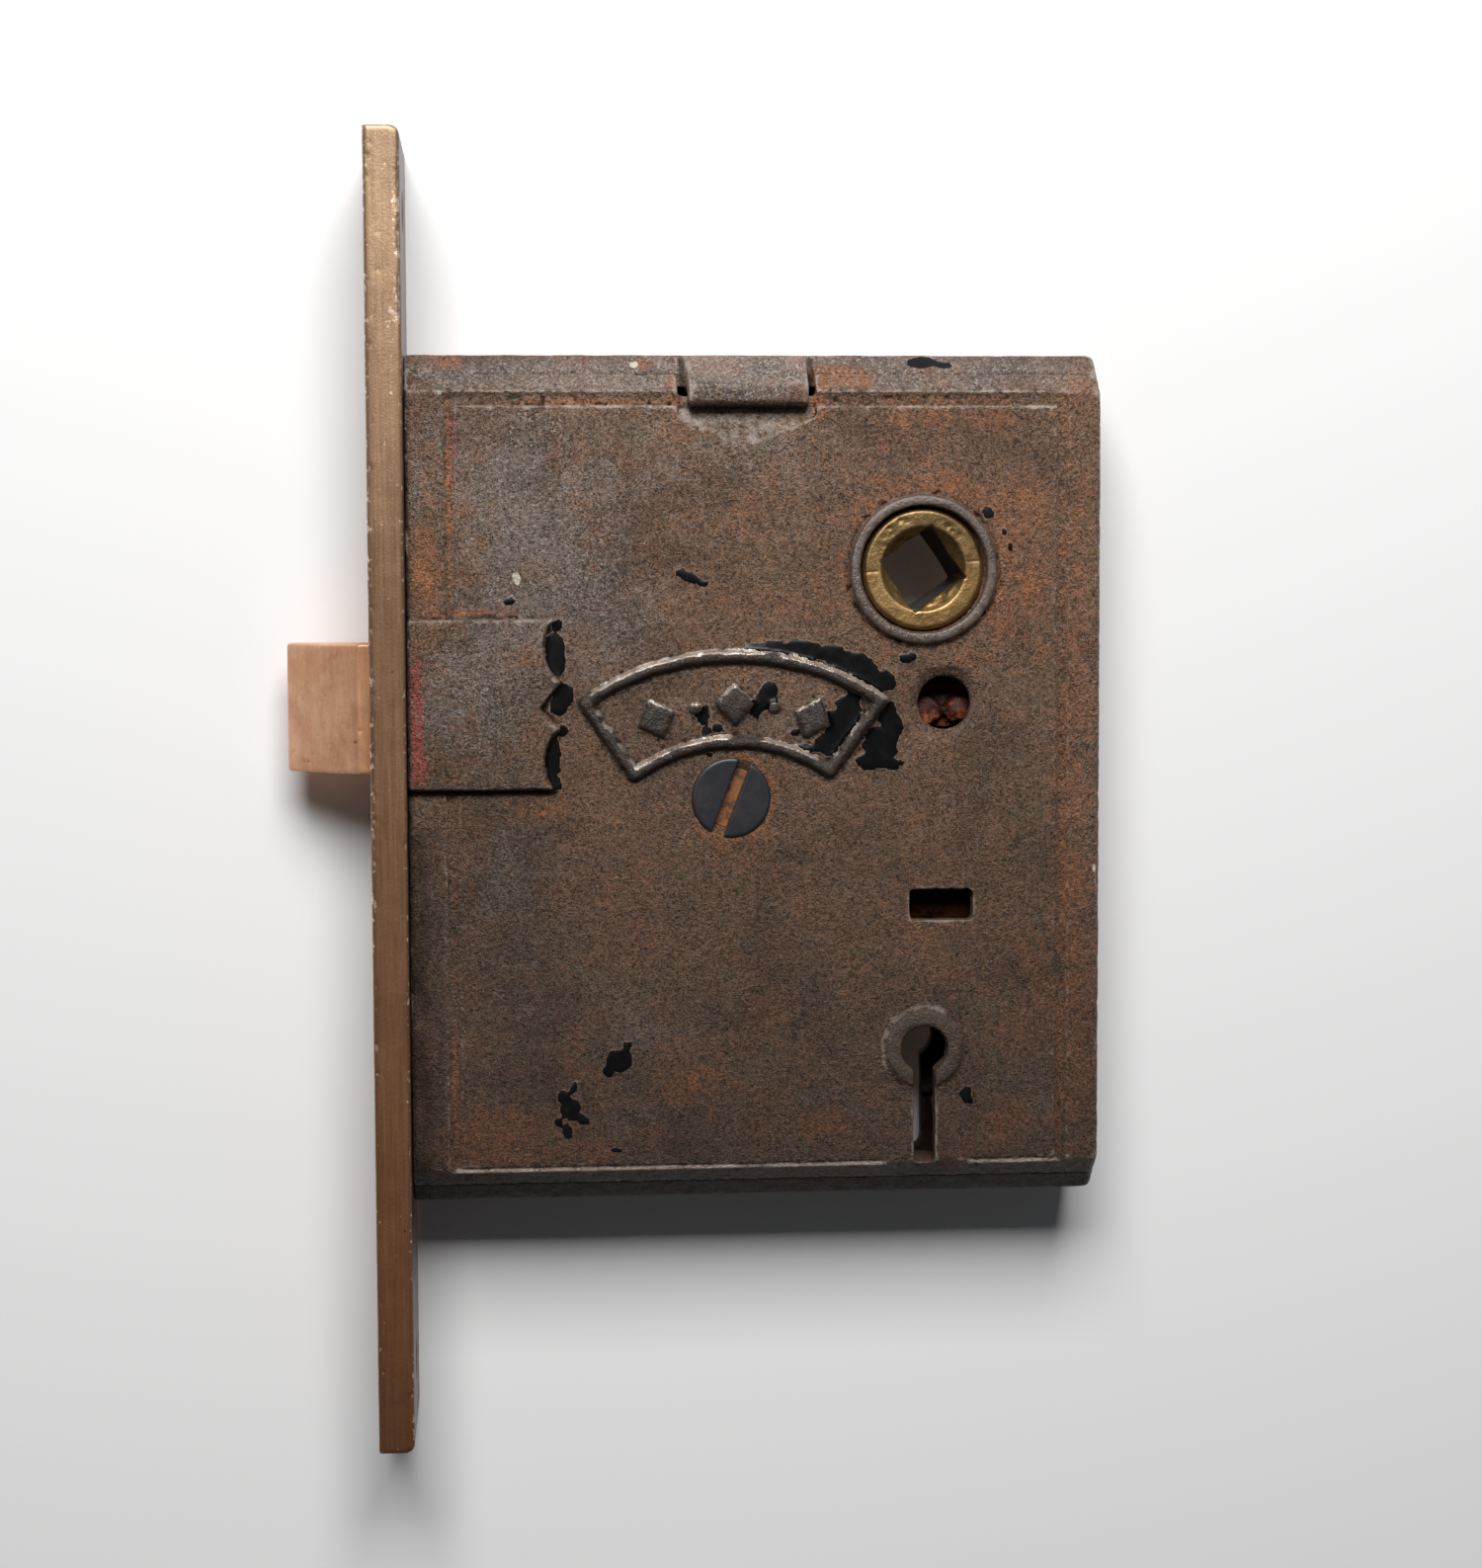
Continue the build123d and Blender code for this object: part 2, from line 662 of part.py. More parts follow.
# ---------------------------------------------------------------- latch spring
# Coil round the tail, between the head and the web.
spring_x0, spring_x1 = latch_in + contact_gap, web_x0 - contact_gap
wire_space_r = 0.55              # wire radius with its clearance
wire_r = wire_space_r - 0.03
coil_r = 4.1
coils = 7.0
coil_len = spring_x1 - spring_x0 - 2 * wire_space_r
with BuildPart() as latch_spring:
    with BuildLine() as coil:
        Helix(
            pitch=coil_len / coils,
            height=coil_len,
            radius=coil_r,
            center=(spring_x0 + wire_space_r, 0, tail_mid_z),
            direction=(1, 0, 0),
        )
    with BuildSketch(Plane(coil.line @ 0, z_dir=coil.line % 0)):
        Circle(wire_r)
    sweep()

# ---------------------------------------------------------------- hub with two horns
hub_y = 8.2                      # half length
hub_flange_r = 9.4
hub_flange_y = 5.14
hub_neck_r = 6.8
neck_y0, neck_y1 = 1.4, 4.5      # the neck between the flanges, where the yoke passes
hub_square = 8.2
hub_square_turn = 34.3
hub_edge = 0.45
hub_sink_r = 5.6
hub_sink_depth = 1.6
horn_y0, horn_y1 = 1.7, 4.3
horn_travel = 14.0               # latch travel per radian of hub turn
horn_turn = math.radians(45)
horn_rest = horn_reach / horn_travel
horn_steps = 8


def horn_point(phi, side):
    """Point on the upper (side 1) or lower (side -1) horn's face at rest.

    The face is an involute of the circle of radius horn_travel.
    """
    turn = phi - horn_rest
    x, z = horn_travel * phi, -horn_travel
    turned_x = x * math.cos(turn) + z * math.sin(turn)
    turned_z = -x * math.sin(turn) + z * math.cos(turn)
    return (hub_x + turned_x, hub_z - side * turned_z)


with BuildPart() as hub:
    with BuildSketch(at_y(hub_y)):
        discs(hub_r, (hub_x, hub_z))
    extrude(amount=2 * hub_y)
    for flange_y0, flange_y1 in ((neck_y1, hub_flange_y), (-hub_flange_y, neck_y0)):
        with BuildSketch(at_y(flange_y1)):
            discs(hub_flange_r, (hub_x, hub_z))
        extrude(amount=flange_y1 - flange_y0)
    with BuildSketch(at_y(neck_y1)):
        discs(hub_flange_r + 2, (hub_x, hub_z))
        discs(hub_neck_r, (hub_x, hub_z), mode=Mode.SUBTRACT)
    extrude(amount=neck_y1 - neck_y0, mode=Mode.SUBTRACT)
    for side in (-1, 1):
        face_points = [
            horn_point(horn_rest + i * (horn_turn + 0.04) / horn_steps, side)
            for i in range(horn_steps + 1)
        ]
        tip_x, tip_z = face_points[-1]
        tip_back = (tip_x - 2.6, tip_z - side * 0.5)
        root_front = (hub_x + 5.2, hub_z + side * 4.2)
        root_back = (hub_x - 5.6, hub_z + side * 3.6)
        with BuildSketch(at_y(horn_y1)):
            with BuildLine():
                Line(root_front, face_points[0])
                Spline(*face_points)
                Line(face_points[-1], tip_back)
                Line(tip_back, root_back)
                Line(root_back, (hub_x, hub_z))
                Line((hub_x, hub_z), root_front)
            make_face()
        extrude(amount=horn_y1 - horn_y0)
    # square hole for the spindle
    with BuildSketch(at_y(clear_y)):
        with Locations(Location((hub_x, hub_z), hub_square_turn)):
            Rectangle(hub_square, hub_square)
    extrude(amount=2 * clear_y, mode=Mode.SUBTRACT)
    hub_rims = hub.edges().filter_by(GeomType.CIRCLE).filter_by(
        lambda e: abs(e.radius - hub_r) < 0.01 and abs(abs(e.center().Y) - hub_y) < 0.05
    )
    chamfer(hub_rims, length=hub_edge)
    # conical sink round the square hole, both faces
    for side in (-1, 1):
        with BuildSketch(Plane.XY.offset(hub_z)):
            Polygon(
                (hub_x, side * (hub_y - hub_sink_depth)),
                (hub_x + hub_sink_r - hub_sink_depth, side * (hub_y - hub_sink_depth)),
                (hub_x + hub_sink_r, side * hub_y),
                (hub_x + hub_sink_r, side * clear_y),
                (hub_x, side * clear_y),
                align=None,
            )
        revolve(axis=Axis((hub_x, 0, hub_z), (0, 1, 0)), mode=Mode.SUBTRACT)

# ---------------------------------------------------------------- dead bolt head
bolt_x0, bolt_x1 = 0.3, 23.0
bolt_edge = 0.5
with BuildPart() as dead_bolt_head:
    with BuildSketch(Plane.YZ.offset(bolt_x0)):
        box_sketch(-bolt_y, bolt_y, bolt_z0, bolt_z1)
    extrude(amount=bolt_x1 - bolt_x0)
    chamfer(dead_bolt_head.faces().sort_by(Axis.X)[0].edges(), length=bolt_edge)
    # slot for the tail
    with BuildSketch(Plane.YZ.offset(bolt_slot_x)):
        box_sketch(
            bolt_tail_y0 - contact_gap,
            bolt_tail_y1 + contact_gap,
            bolt_tail_z0 - slide_gap,
            bolt_tail_z1 + slide_gap,
        )
    extrude(amount=20.0, mode=Mode.SUBTRACT)
    with BuildSketch(at_y(bolt_y)):
        discs(rivet_hole_r, *bolt_rivet_spots)
    extrude(amount=2 * bolt_y, mode=Mode.SUBTRACT)

dead_bolt_rivets = pins(rivet_r, bolt_rivet_spots, -bolt_y + slide_gap, bolt_y - slide_gap)

# ---------------------------------------------------------------- dead bolt tail
bolt_tail_x1 = 86.0
talon_x = key_x + bolt_throw / 2
talon_w, talon_h = 10.9, 4.4
stud_notch_x = stud_x + bolt_throw
stud_notch_half_w = stud_r + 0.15
stud_notch_h = 1.4
with BuildPart() as dead_bolt_tail:
    with BuildSketch(at_y(bolt_tail_y1)):
        box_sketch(bolt_slot_x + slide_gap, bolt_tail_x1, bolt_tail_z0, bolt_tail_z1)
        # talon the key turns in
        with Locations((talon_x, bolt_tail_z0 + talon_h / 2)):
            Rectangle(talon_w, talon_h, mode=Mode.SUBTRACT)
        # slot round the guide post
        with Locations((guide_spot[0] + bolt_throw / 2, guide_spot[1])):
            SlotOverall(
                bolt_throw + 2 * guide_r + 0.4, 2 * (guide_r + slide_gap), mode=Mode.SUBTRACT
            )
        # notch the tumbler drops into when the bolt is out
        box_sketch(
            stud_notch_x - stud_notch_half_w,
            stud_notch_x + stud_notch_half_w,
            bolt_tail_z1 - stud_notch_h,
            bolt_tail_z1,
            mode=Mode.SUBTRACT,
        )
        discs(rivet_hole_r, *bolt_rivet_spots, mode=Mode.SUBTRACT)
    extrude(amount=bolt_tail_y1 - bolt_tail_y0)

# ---------------------------------------------------------------- posts in the case floor
dead_bolt_guide_post = riveted_post(
    guide_spot, guide_r, bolt_tail_y0 - 0.1, head_r=4.0, head_t=1.2
)
tumbler_post = riveted_post(tumbler_spot, tumbler_post_r, part_y + 0.1)
tumbler_spring_stop = riveted_post(stop_spot, 1.8, -3.6)

# ---------------------------------------------------------------- tumbler spacer
spacer_r = 3.6
spacer_y1 = cavity_y - contact_gap
with BuildPart() as tumbler_spacer:
    with BuildSketch(at_y(spacer_y1)):
        discs(spacer_r, tumbler_spot)
        discs(tumbler_post_r + slide_gap, tumbler_spot, mode=Mode.SUBTRACT)
    extrude(amount=spacer_y1 - tumbler_y1 - slide_gap)

# ---------------------------------------------------------------- tumbler
belly_r = 12.6


def belly_point(x):
    """Point at this x on the belly, an arc centred on the keyhole."""
    return (x, key_z + math.sqrt(belly_r**2 - (x - key_x) ** 2))


belly_start, belly_end = belly_point(81.0), belly_point(64.5)
# outline from the pivot end over the top to the belly: x, z
tumbler_top = (
    (57.0, -11.2), (53.6, -8.4), (53.4, -5.0), (56.0, -2.2), (60.0, -2.0),
    (66.0, -4.2), (82.0, -5.4), (85.0, -8.0), (85.0, -14.0),
)
with BuildPart() as tumbler:
    with BuildSketch(at_y(tumbler_y1)):
        with BuildLine():
            Polyline(*tumbler_top, belly_start)
            ThreePointArc(belly_start, belly_point(key_x), belly_end)
            Polyline(belly_end, (62.6, -15.0), tumbler_top[0])
        make_face()
        discs(tumbler_post_r + slide_gap, tumbler_spot, mode=Mode.SUBTRACT)
        discs(rivet_hole_r, (stud_x, stud_z), mode=Mode.SUBTRACT)
    extrude(amount=tumbler_y1 - tumbler_y0)

# ---------------------------------------------------------------- tumbler stud
stud_y1 = bolt_tail_y1 - 0.1
with BuildPart() as tumbler_stud:
    with BuildSketch(at_y(stud_y1)):
        discs(stud_r, (stud_x, stud_z))
    extrude(amount=stud_y1 - tumbler_y1)
    with BuildSketch(at_y(tumbler_y1)):
        discs(rivet_r, (stud_x, stud_z))
    extrude(amount=tumbler_y1 - tumbler_y0)

# ---------------------------------------------------------------- tumbler spring
leaf_t = 0.45
leaf_w = 2.6
# upper and lower edges of the leaf: x, z
leaf_upper = ((64.6, -3.62), (66.5, -3.2), (72.0, -0.2), (78.0, 1.2), (84.5, 1.45))
leaf_lower = (
    (84.5, 1.45 - leaf_t),
    (78.0, 1.2 - leaf_t),
    (72.0, -0.3 - leaf_t),
    (66.9, -3.2 - leaf_t),
    (64.9, -3.72),
)
with BuildPart() as tumbler_spring:
    with BuildSketch(at_y(tumbler_y1 - 0.1)):
        with BuildLine():
            Spline(*leaf_upper)
            Line(leaf_upper[-1], leaf_lower[0])
            Spline(*leaf_lower)
            Line(leaf_lower[-1], leaf_upper[0])
        make_face()
    extrude(amount=leaf_w)

# ---------------------------------------------------------------- files
pieces = {
    "face_plate": face_plate,
    "face_plate_screws": face_plate_screws,
    "case": case,
    "cover": cover,
    "cover_screw": cover_screw,
    "cover_dowels": cover_dowels,
    "latch_head": latch_head,
    "latch_tail": latch_tail,
    "latch_rivets": latch_rivets,
    "latch_spring": latch_spring,
    "hub": hub,
    "dead_bolt_head": dead_bolt_head,
    "dead_bolt_tail": dead_bolt_tail,
    "dead_bolt_rivets": dead_bolt_rivets,
    "dead_bolt_guide_post": dead_bolt_guide_post,
    "tumbler": tumbler,
    "tumbler_stud": tumbler_stud,
    "tumbler_post": tumbler_post,
    "tumbler_spacer": tumbler_spacer,
    "tumbler_spring": tumbler_spring,
    "tumbler_spring_stop": tumbler_spring_stop,
}
for name, builder in pieces.items():
    piece = builder.part
    piece.label = name
    export_step(piece, f"parts/{name}.step")
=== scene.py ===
"""An old mortise lock: cast-iron case and cover, bronze face plate and latch, brass hub.

The face plate stands at x = 0 and the case runs toward +x; the latch head sticks out toward -x.
The cover faces the camera, toward -y, and z is up. CAD pieces are in metres; worn copies, noise
and textures are worked in mm.
"""
import math
from functools import cached_property

import bpy
import numpy as np
from mathutils import Matrix, Vector


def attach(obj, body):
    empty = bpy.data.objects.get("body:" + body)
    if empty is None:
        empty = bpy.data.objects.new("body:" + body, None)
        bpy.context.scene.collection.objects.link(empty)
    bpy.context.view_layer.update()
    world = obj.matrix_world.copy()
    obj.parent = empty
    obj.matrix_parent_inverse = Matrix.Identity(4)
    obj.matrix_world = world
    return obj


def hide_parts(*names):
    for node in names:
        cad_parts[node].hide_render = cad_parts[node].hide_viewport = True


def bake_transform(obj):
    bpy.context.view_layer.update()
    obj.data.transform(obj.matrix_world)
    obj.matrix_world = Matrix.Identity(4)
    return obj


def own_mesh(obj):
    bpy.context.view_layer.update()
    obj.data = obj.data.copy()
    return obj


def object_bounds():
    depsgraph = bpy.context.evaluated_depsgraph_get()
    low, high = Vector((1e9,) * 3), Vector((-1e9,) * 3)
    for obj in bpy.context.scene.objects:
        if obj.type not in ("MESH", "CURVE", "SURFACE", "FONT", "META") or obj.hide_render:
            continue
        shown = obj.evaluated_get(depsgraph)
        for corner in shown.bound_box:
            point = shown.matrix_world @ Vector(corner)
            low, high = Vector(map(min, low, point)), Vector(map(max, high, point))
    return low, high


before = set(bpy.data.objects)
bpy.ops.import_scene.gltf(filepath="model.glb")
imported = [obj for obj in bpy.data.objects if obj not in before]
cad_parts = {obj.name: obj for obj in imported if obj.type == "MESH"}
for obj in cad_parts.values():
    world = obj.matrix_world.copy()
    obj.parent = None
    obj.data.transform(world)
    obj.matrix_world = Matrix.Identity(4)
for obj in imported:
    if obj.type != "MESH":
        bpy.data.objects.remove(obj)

cad_lo, cad_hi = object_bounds()
scene = bpy.context.scene
scene.view_settings.view_transform = "Standard"
MM = 0.001

# Centres on the cover (x, z) in mm
HUB = (72.3, 29.4)
KEY_RING = (72.5, -34.1)
SCREW = (46.9, -0.4)
FIELD_SIDES = (10.475, 90.75)      # x of the cover field's left and right steps

PIECES = {  # CAD node: new name, quick voxel mm, voxel mm, most triangles, body, slot
    "cover": ("cover_cast", 0.42, 0.27, 190000, "lock_case", "cast_iron"),
    "case": ("case_cast", 0.6, 0.40, 150000, "lock_case", "cast_iron"),
    "face_plate": ("face_plate_bronze", 0.5, 0.28, 110000, "lock_case", "bronze_plate"),
    "latch_head": ("latch_head_bronze", 0.35, 0.22, 60000, "latch", "bronze_latch"),
    "hub": ("hub_brass", 0.22, 0.14, 90000, "hub", "brass_hub"),
    "cover_screw": ("cover_screw_blued", 0.2, 0.12, 30000, "lock_case", "steel_dark"),
    "latch_tail": ("latch_tail_rusty", 0.45, 0.30, 60000, "latch", "iron_inner"),
}

# ---------------------------------------------------------------- numpy noise and masks, in mm


def lattice_hash(i, j, k, seed):
    h = (i * 73856093) ^ (j * 19349663) ^ (k * 83492791) ^ (seed * 2654435761)
    h = (h ^ (h >> 13)) * 1274126177
    h = h & 0x7FFFFFFF
    h = (h ^ (h >> 15)) * 668265263
    return ((h & 0x7FFFFFFF) >> 7).astype(np.float64) / float(1 << 24)


def vnoise(points, per_mm, seed=0):
    """Value noise from 0 to 1."""
    q = points * per_mm + 71.3 + seed * 3.7
    cell = np.floor(q).astype(np.int64)
    t = q - cell
    t = t * t * (3 - 2 * t)
    out = 0
    for a in (0, 1):
        wa = t[:, 0] if a else 1 - t[:, 0]
        for b in (0, 1):
            wb = t[:, 1] if b else 1 - t[:, 1]
            for c in (0, 1):
                wc = t[:, 2] if c else 1 - t[:, 2]
                corner = lattice_hash(cell[:, 0] + a, cell[:, 1] + b, cell[:, 2] + c, seed)
                out = out + wa * wb * wc * corner
    return out


def fbm(points, per_mm, octaves, seed):
    """Octaves of value noise, 0 to 1."""
    out, amp, total = 0, 1.0, 0.0
    for o in range(octaves):
        out = out + amp * vnoise(points, per_mm * 2 ** o, seed + o)
        total += amp
        amp *= 0.55
    return out / total


def relief(points, layers):
    """Summed bumps; layers are (frequency per mm, seed, height in mm)."""
    return sum((fbm(points, per_mm, 2, seed) - 0.5) * height for per_mm, seed, height in layers)


def sstep(start, end, value):
    """Smooth step, 0 at start and 1 at end; start may be the larger."""
    t = np.clip((value - start) / (end - start), 0, 1)
    return t * t * (3 - 2 * t)


def band(value, centre, width):
    """Bell curve, 1 at the centre."""
    return np.exp(-((value - centre) / width) ** 2)


def between(value, low, high):
    return (value > low) * (value < high)


def radius(x, z, centre):
    return np.hypot(x - centre[0], z - centre[1])


def segment_distance(x, z, x0, z0, x1, z1):
    ux, uz = x1 - x0, z1 - z0
    t = np.clip(((x - x0) * ux + (z - z0) * uz) / (ux * ux + uz * uz), 0, 1)
    return np.hypot(x - x0 - t * ux, z - z0 - t * uz)


def ell(x, z, cx, cz, rx, rz, turn=0.0):
    """1 at the centre, 0 on the ellipse, below 0 outside it; turn in degrees."""
    c, s = math.cos(math.radians(turn)), math.sin(math.radians(turn))
    dx, dz = x - cx, z - cz
    return 1 - np.sqrt(((dx * c + dz * s) / rx) ** 2 + ((-dx * s + dz * c) / rz) ** 2)


def soft(x, z, *ellipse):
    return sstep(-0.6, 0.7, ell(x, z, *ellipse))


# ---------------------------------------------------------------- dense, worn copies of CAD nodes


class Dense:
    """A voxel remesh of a CAD node, worked on as numpy arrays in mm."""

    def __init__(self, node):
        self.node = node
        self.name, quick_voxel, voxel, self.most_tris, self.body, self.slot = PIECES[node]
        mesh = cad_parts[node].data.copy()
        mesh.transform(Matrix.Scale(1000, 4))
        self.ob = bpy.data.objects.new(self.name, mesh)
        scene.collection.objects.link(self.ob)
        remesh = self.ob.modifiers.new("remesh", "REMESH")
        remesh.mode = "VOXEL"
        remesh.voxel_size = voxel
        remesh.use_smooth_shade = True
        self.apply_modifier()
        self.n = len(self.mesh.vertices)
        co = np.empty(self.n * 3, np.float32)
        self.mesh.vertices.foreach_get("co", co)
        self.v = co.reshape(-1, 3).astype(np.float64)
        edges = np.empty(len(self.mesh.edges) * 2, np.int32)
        self.mesh.edges.foreach_get("vertices", edges)
        edges = edges.reshape(-1, 2)
        self.start, self.end = edges[:, 0], edges[:, 1]
        degree = np.bincount(edges.ravel(), minlength=self.n)
        self.degree = np.maximum(degree, 1).astype(np.float64)
        self.attrs = {}

    def apply_modifier(self):
        old = self.ob.data
        depsgraph = bpy.context.evaluated_depsgraph_get()
        self.mesh = bpy.data.meshes.new_from_object(self.ob.evaluated_get(depsgraph))
        self.ob.modifiers.clear()
        self.ob.data = self.mesh
        bpy.data.meshes.remove(old)

    def laplacian(self, v):
        s = np.empty_like(v)
        for k in range(v.shape[1]):
            s[:, k] = (np.bincount(self.start, v[self.end, k], self.n)
                       + np.bincount(self.end, v[self.start, k], self.n))
        return s / self.degree[:, None] - v

    def smooth(self, times, amount):
        for _ in range(times):
            self.v += self.laplacian(self.v) * amount

    def write(self):
        self.mesh.vertices.foreach_set("co", self.v.astype(np.float32).ravel())
        self.mesh.update()

    def normals(self):
        self.write()
        normals = np.empty(self.n * 3, np.float32)
        self.mesh.vertex_normals.foreach_get("vector", normals)
        return normals.reshape(-1, 3).astype(np.float64)

    def edgeness(self, times):
        """Height in mm over a smoothed copy: positive on convex edges, negative in hollows."""
        normals = self.normals()
        s = self.v.copy()
        for _ in range(times):
            s += 0.6 * self.laplacian(s)
        return np.einsum("ij,ij->i", self.v - s, normals)

    def push(self, distance, normals):
        self.v += normals * distance[:, None]

    def paint(self, **fields):
        """Keep vertex attributes for the material."""
        for name, values in fields.items():
            self.attrs[name] = np.asarray(values, np.float32)

    def done(self, mat):
        """Keep inside the CAD bounds, thin out, go back to metres and hand over."""
        inset = 0.005
        np.clip(self.v, np.array(cad_lo) * 1000 + inset, np.array(cad_hi) * 1000 - inset,
                out=self.v)
        self.write()
        for name, values in self.attrs.items():
            self.mesh.attributes.new(name, "FLOAT", "POINT").data.foreach_set("value", values)
        tris = sum(len(p.vertices) - 2 for p in self.mesh.polygons)
        if tris > self.most_tris:
            self.ob.modifiers.new("thin", "DECIMATE").ratio = self.most_tris / tris
            self.apply_modifier()
        mesh = self.mesh
        mesh.transform(Matrix.Scale(MM, 4))
        mesh.materials.clear()
        mesh.materials.append(mat)
        mesh.polygons.foreach_set("use_smooth", [True] * len(mesh.polygons))
        mesh.update()
        mesh.name = self.name
        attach(self.ob, self.body)
        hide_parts(self.node)


# ---------------------------------------------------------------- material building


class Mat:
    """A Principled material; every node method returns an output socket."""

    def __init__(self, name):
        self.mat = bpy.data.materials.new(name)
        self.mat.use_nodes = True
        self.tree = self.mat.node_tree
        self.tree.nodes.clear()
        self.out = self.node("OutputMaterial")
        self.shader = self.node("BsdfPrincipled")
        self.put(self.out.inputs[0], self.shader.outputs[0])

    def node(self, kind):
        return self.tree.nodes.new("ShaderNode" + kind)

    def put(self, socket, value):
        if isinstance(value, bpy.types.NodeSocket):
            self.tree.links.new(value, socket)
        elif isinstance(value, tuple):
            socket.default_value = value + (1.0,)
        else:
            socket.default_value = value

    def set(self, **inputs):
        for name, value in inputs.items():
            self.put(self.shader.inputs[name.replace("_", " ")], value)

    @cached_property
    def point(self):
        """Object coordinates in mm."""
        coords = self.node("TexCoord")
        return self.tint(coords.outputs["Object"], 1000.0)

    @cached_property
    def xyz(self):
        split = self.node("SeparateXYZ")
        self.put(split.inputs[0], self.point)
        return split.outputs

    def math(self, op, *values):
        n = self.node("Math")
        n.operation = op
        for socket, value in zip(n.inputs, values):
            self.put(socket, value)
        return n.outputs[0]

    def mul(self, a, b, *rest):
        return self.math("MULTIPLY", a, self.mul(b, *rest) if rest else b)

    def add(self, a, b, *rest):
        return self.math("ADD", a, self.add(b, *rest) if rest else b)

    def inv(self, a):
        return self.math("SUBTRACT", 1.0, a)

    def madd(self, a, factor, base):
        return self.math("MULTIPLY_ADD", a, factor, base)

    def swing(self, noise, amount):
        """Noise centred on 0, times an amount."""
        return self.mul(self.math("SUBTRACT", noise, 0.5), amount)

    def vary(self, noise, amount, base=1.0):
        """A base value swung up and down by noise."""
        return self.madd(self.math("SUBTRACT", noise, 0.5), amount, base)

    def weigh(self, base, *terms):
        """A base plus terms of (value, factor)."""
        for value, factor in terms:
            base = self.madd(value, factor, base)
        return base

    def ramp(self, start, end, low, high, value, kind="LINEAR"):
        """Map value from start..end to low..high."""
        n = self.node("MapRange")
        n.interpolation_type = kind
        self.put(n.inputs["Value"], value)
        n.inputs["From Min"].default_value = start
        n.inputs["From Max"].default_value = end
        n.inputs["To Min"].default_value = low
        n.inputs["To Max"].default_value = high
        return n.outputs["Result"]

    def step(self, start, end, value):
        """Smooth step, 0 at start and 1 at end; start may be the larger."""
        if start > end:
            return self.ramp(end, start, 1.0, 0.0, value, "SMOOTHSTEP")
        return self.ramp(start, end, 0.0, 1.0, value, "SMOOTHSTEP")

    def noise(self, per_mm, detail, rough, seed, stretch=None, dist=0.0):
        """Noise at a frequency per mm; stretch gives a frequency for each axis."""
        n = self.node("TexNoise")
        n.noise_dimensions = "4D"
        vector = self.point
        if stretch:
            scaled = self.node("VectorMath")
            scaled.operation = "MULTIPLY_ADD"
            self.put(scaled.inputs[0], vector)
            scaled.inputs[1].default_value = stretch
            scaled.inputs[2].default_value = (0, 0, 0)
            vector = scaled.outputs[0]
        self.put(n.inputs["Vector"], vector)
        n.inputs["W"].default_value = seed
        n.inputs["Scale"].default_value = per_mm
        n.inputs["Detail"].default_value = detail
        n.inputs["Roughness"].default_value = rough
        n.inputs["Distortion"].default_value = dist
        return n.outputs["Fac"]

    def cell_values(self, per_mm):
        """Three random values for each Voronoi cell."""
        cells = self.node("TexVoronoi")
        self.put(cells.inputs["Vector"], self.point)
        cells.inputs["Scale"].default_value = per_mm
        split = self.node("SeparateColor")
        self.put(split.inputs[0], cells.outputs["Color"])
        return split.outputs

    def mix(self, fac, a, b):
        n = self.node("Mix")
        n.data_type = "RGBA"
        self.put(n.inputs["Factor"], fac)
        self.put(n.inputs[6], a)           # 6 and 7 are the colour inputs
        self.put(n.inputs[7], b)
        return n.outputs[2]

    def tint(self, vector, factor):
        """Colour or vector times a value."""
        n = self.node("VectorMath")
        n.operation = "SCALE"
        self.put(n.inputs[0], vector)
        self.put(n.inputs["Scale"], factor)
        return n.outputs[0]

    def at(self, name):
        n = self.node("Attribute")
        n.attribute_name = name
        return n.outputs["Fac"]

    def bump(self, height, dist, strength, normal=None):
        n = self.node("Bump")
        n.inputs["Distance"].default_value = dist
        self.put(n.inputs["Strength"], strength)
        self.put(n.inputs["Height"], height)
        if normal is not None:
            self.put(n.inputs["Normal"], normal)
        return n.outputs[0]


# ---------------------------------------------------------------- materials


def iron_skin(m, greyness):
    """Base colour of the casting, with redder, olive and darker patches."""
    brown, grey = (0.118, 0.068, 0.041), (0.130, 0.098, 0.080)
    reddish, olive = (0.165, 0.074, 0.036), (0.086, 0.068, 0.042)
    skin = m.mix(greyness, brown, grey)
    redder = m.step(0.47, 0.66, m.noise(per_mm=0.13, detail=6, rough=0.68, seed=8.0))
    skin = m.mix(m.mul(redder, 0.60), skin, reddish)
    greener = m.step(0.50, 0.68, m.noise(per_mm=0.21, detail=5, rough=0.65, seed=11.0))
    skin = m.mix(m.mul(greener, 0.45), skin, olive)
    patch = m.noise(per_mm=0.085, detail=5, rough=0.62, seed=13.0, dist=0.5)
    return m.tint(skin, m.madd(m.step(0.44, 0.62, patch), -0.34, 1.15))


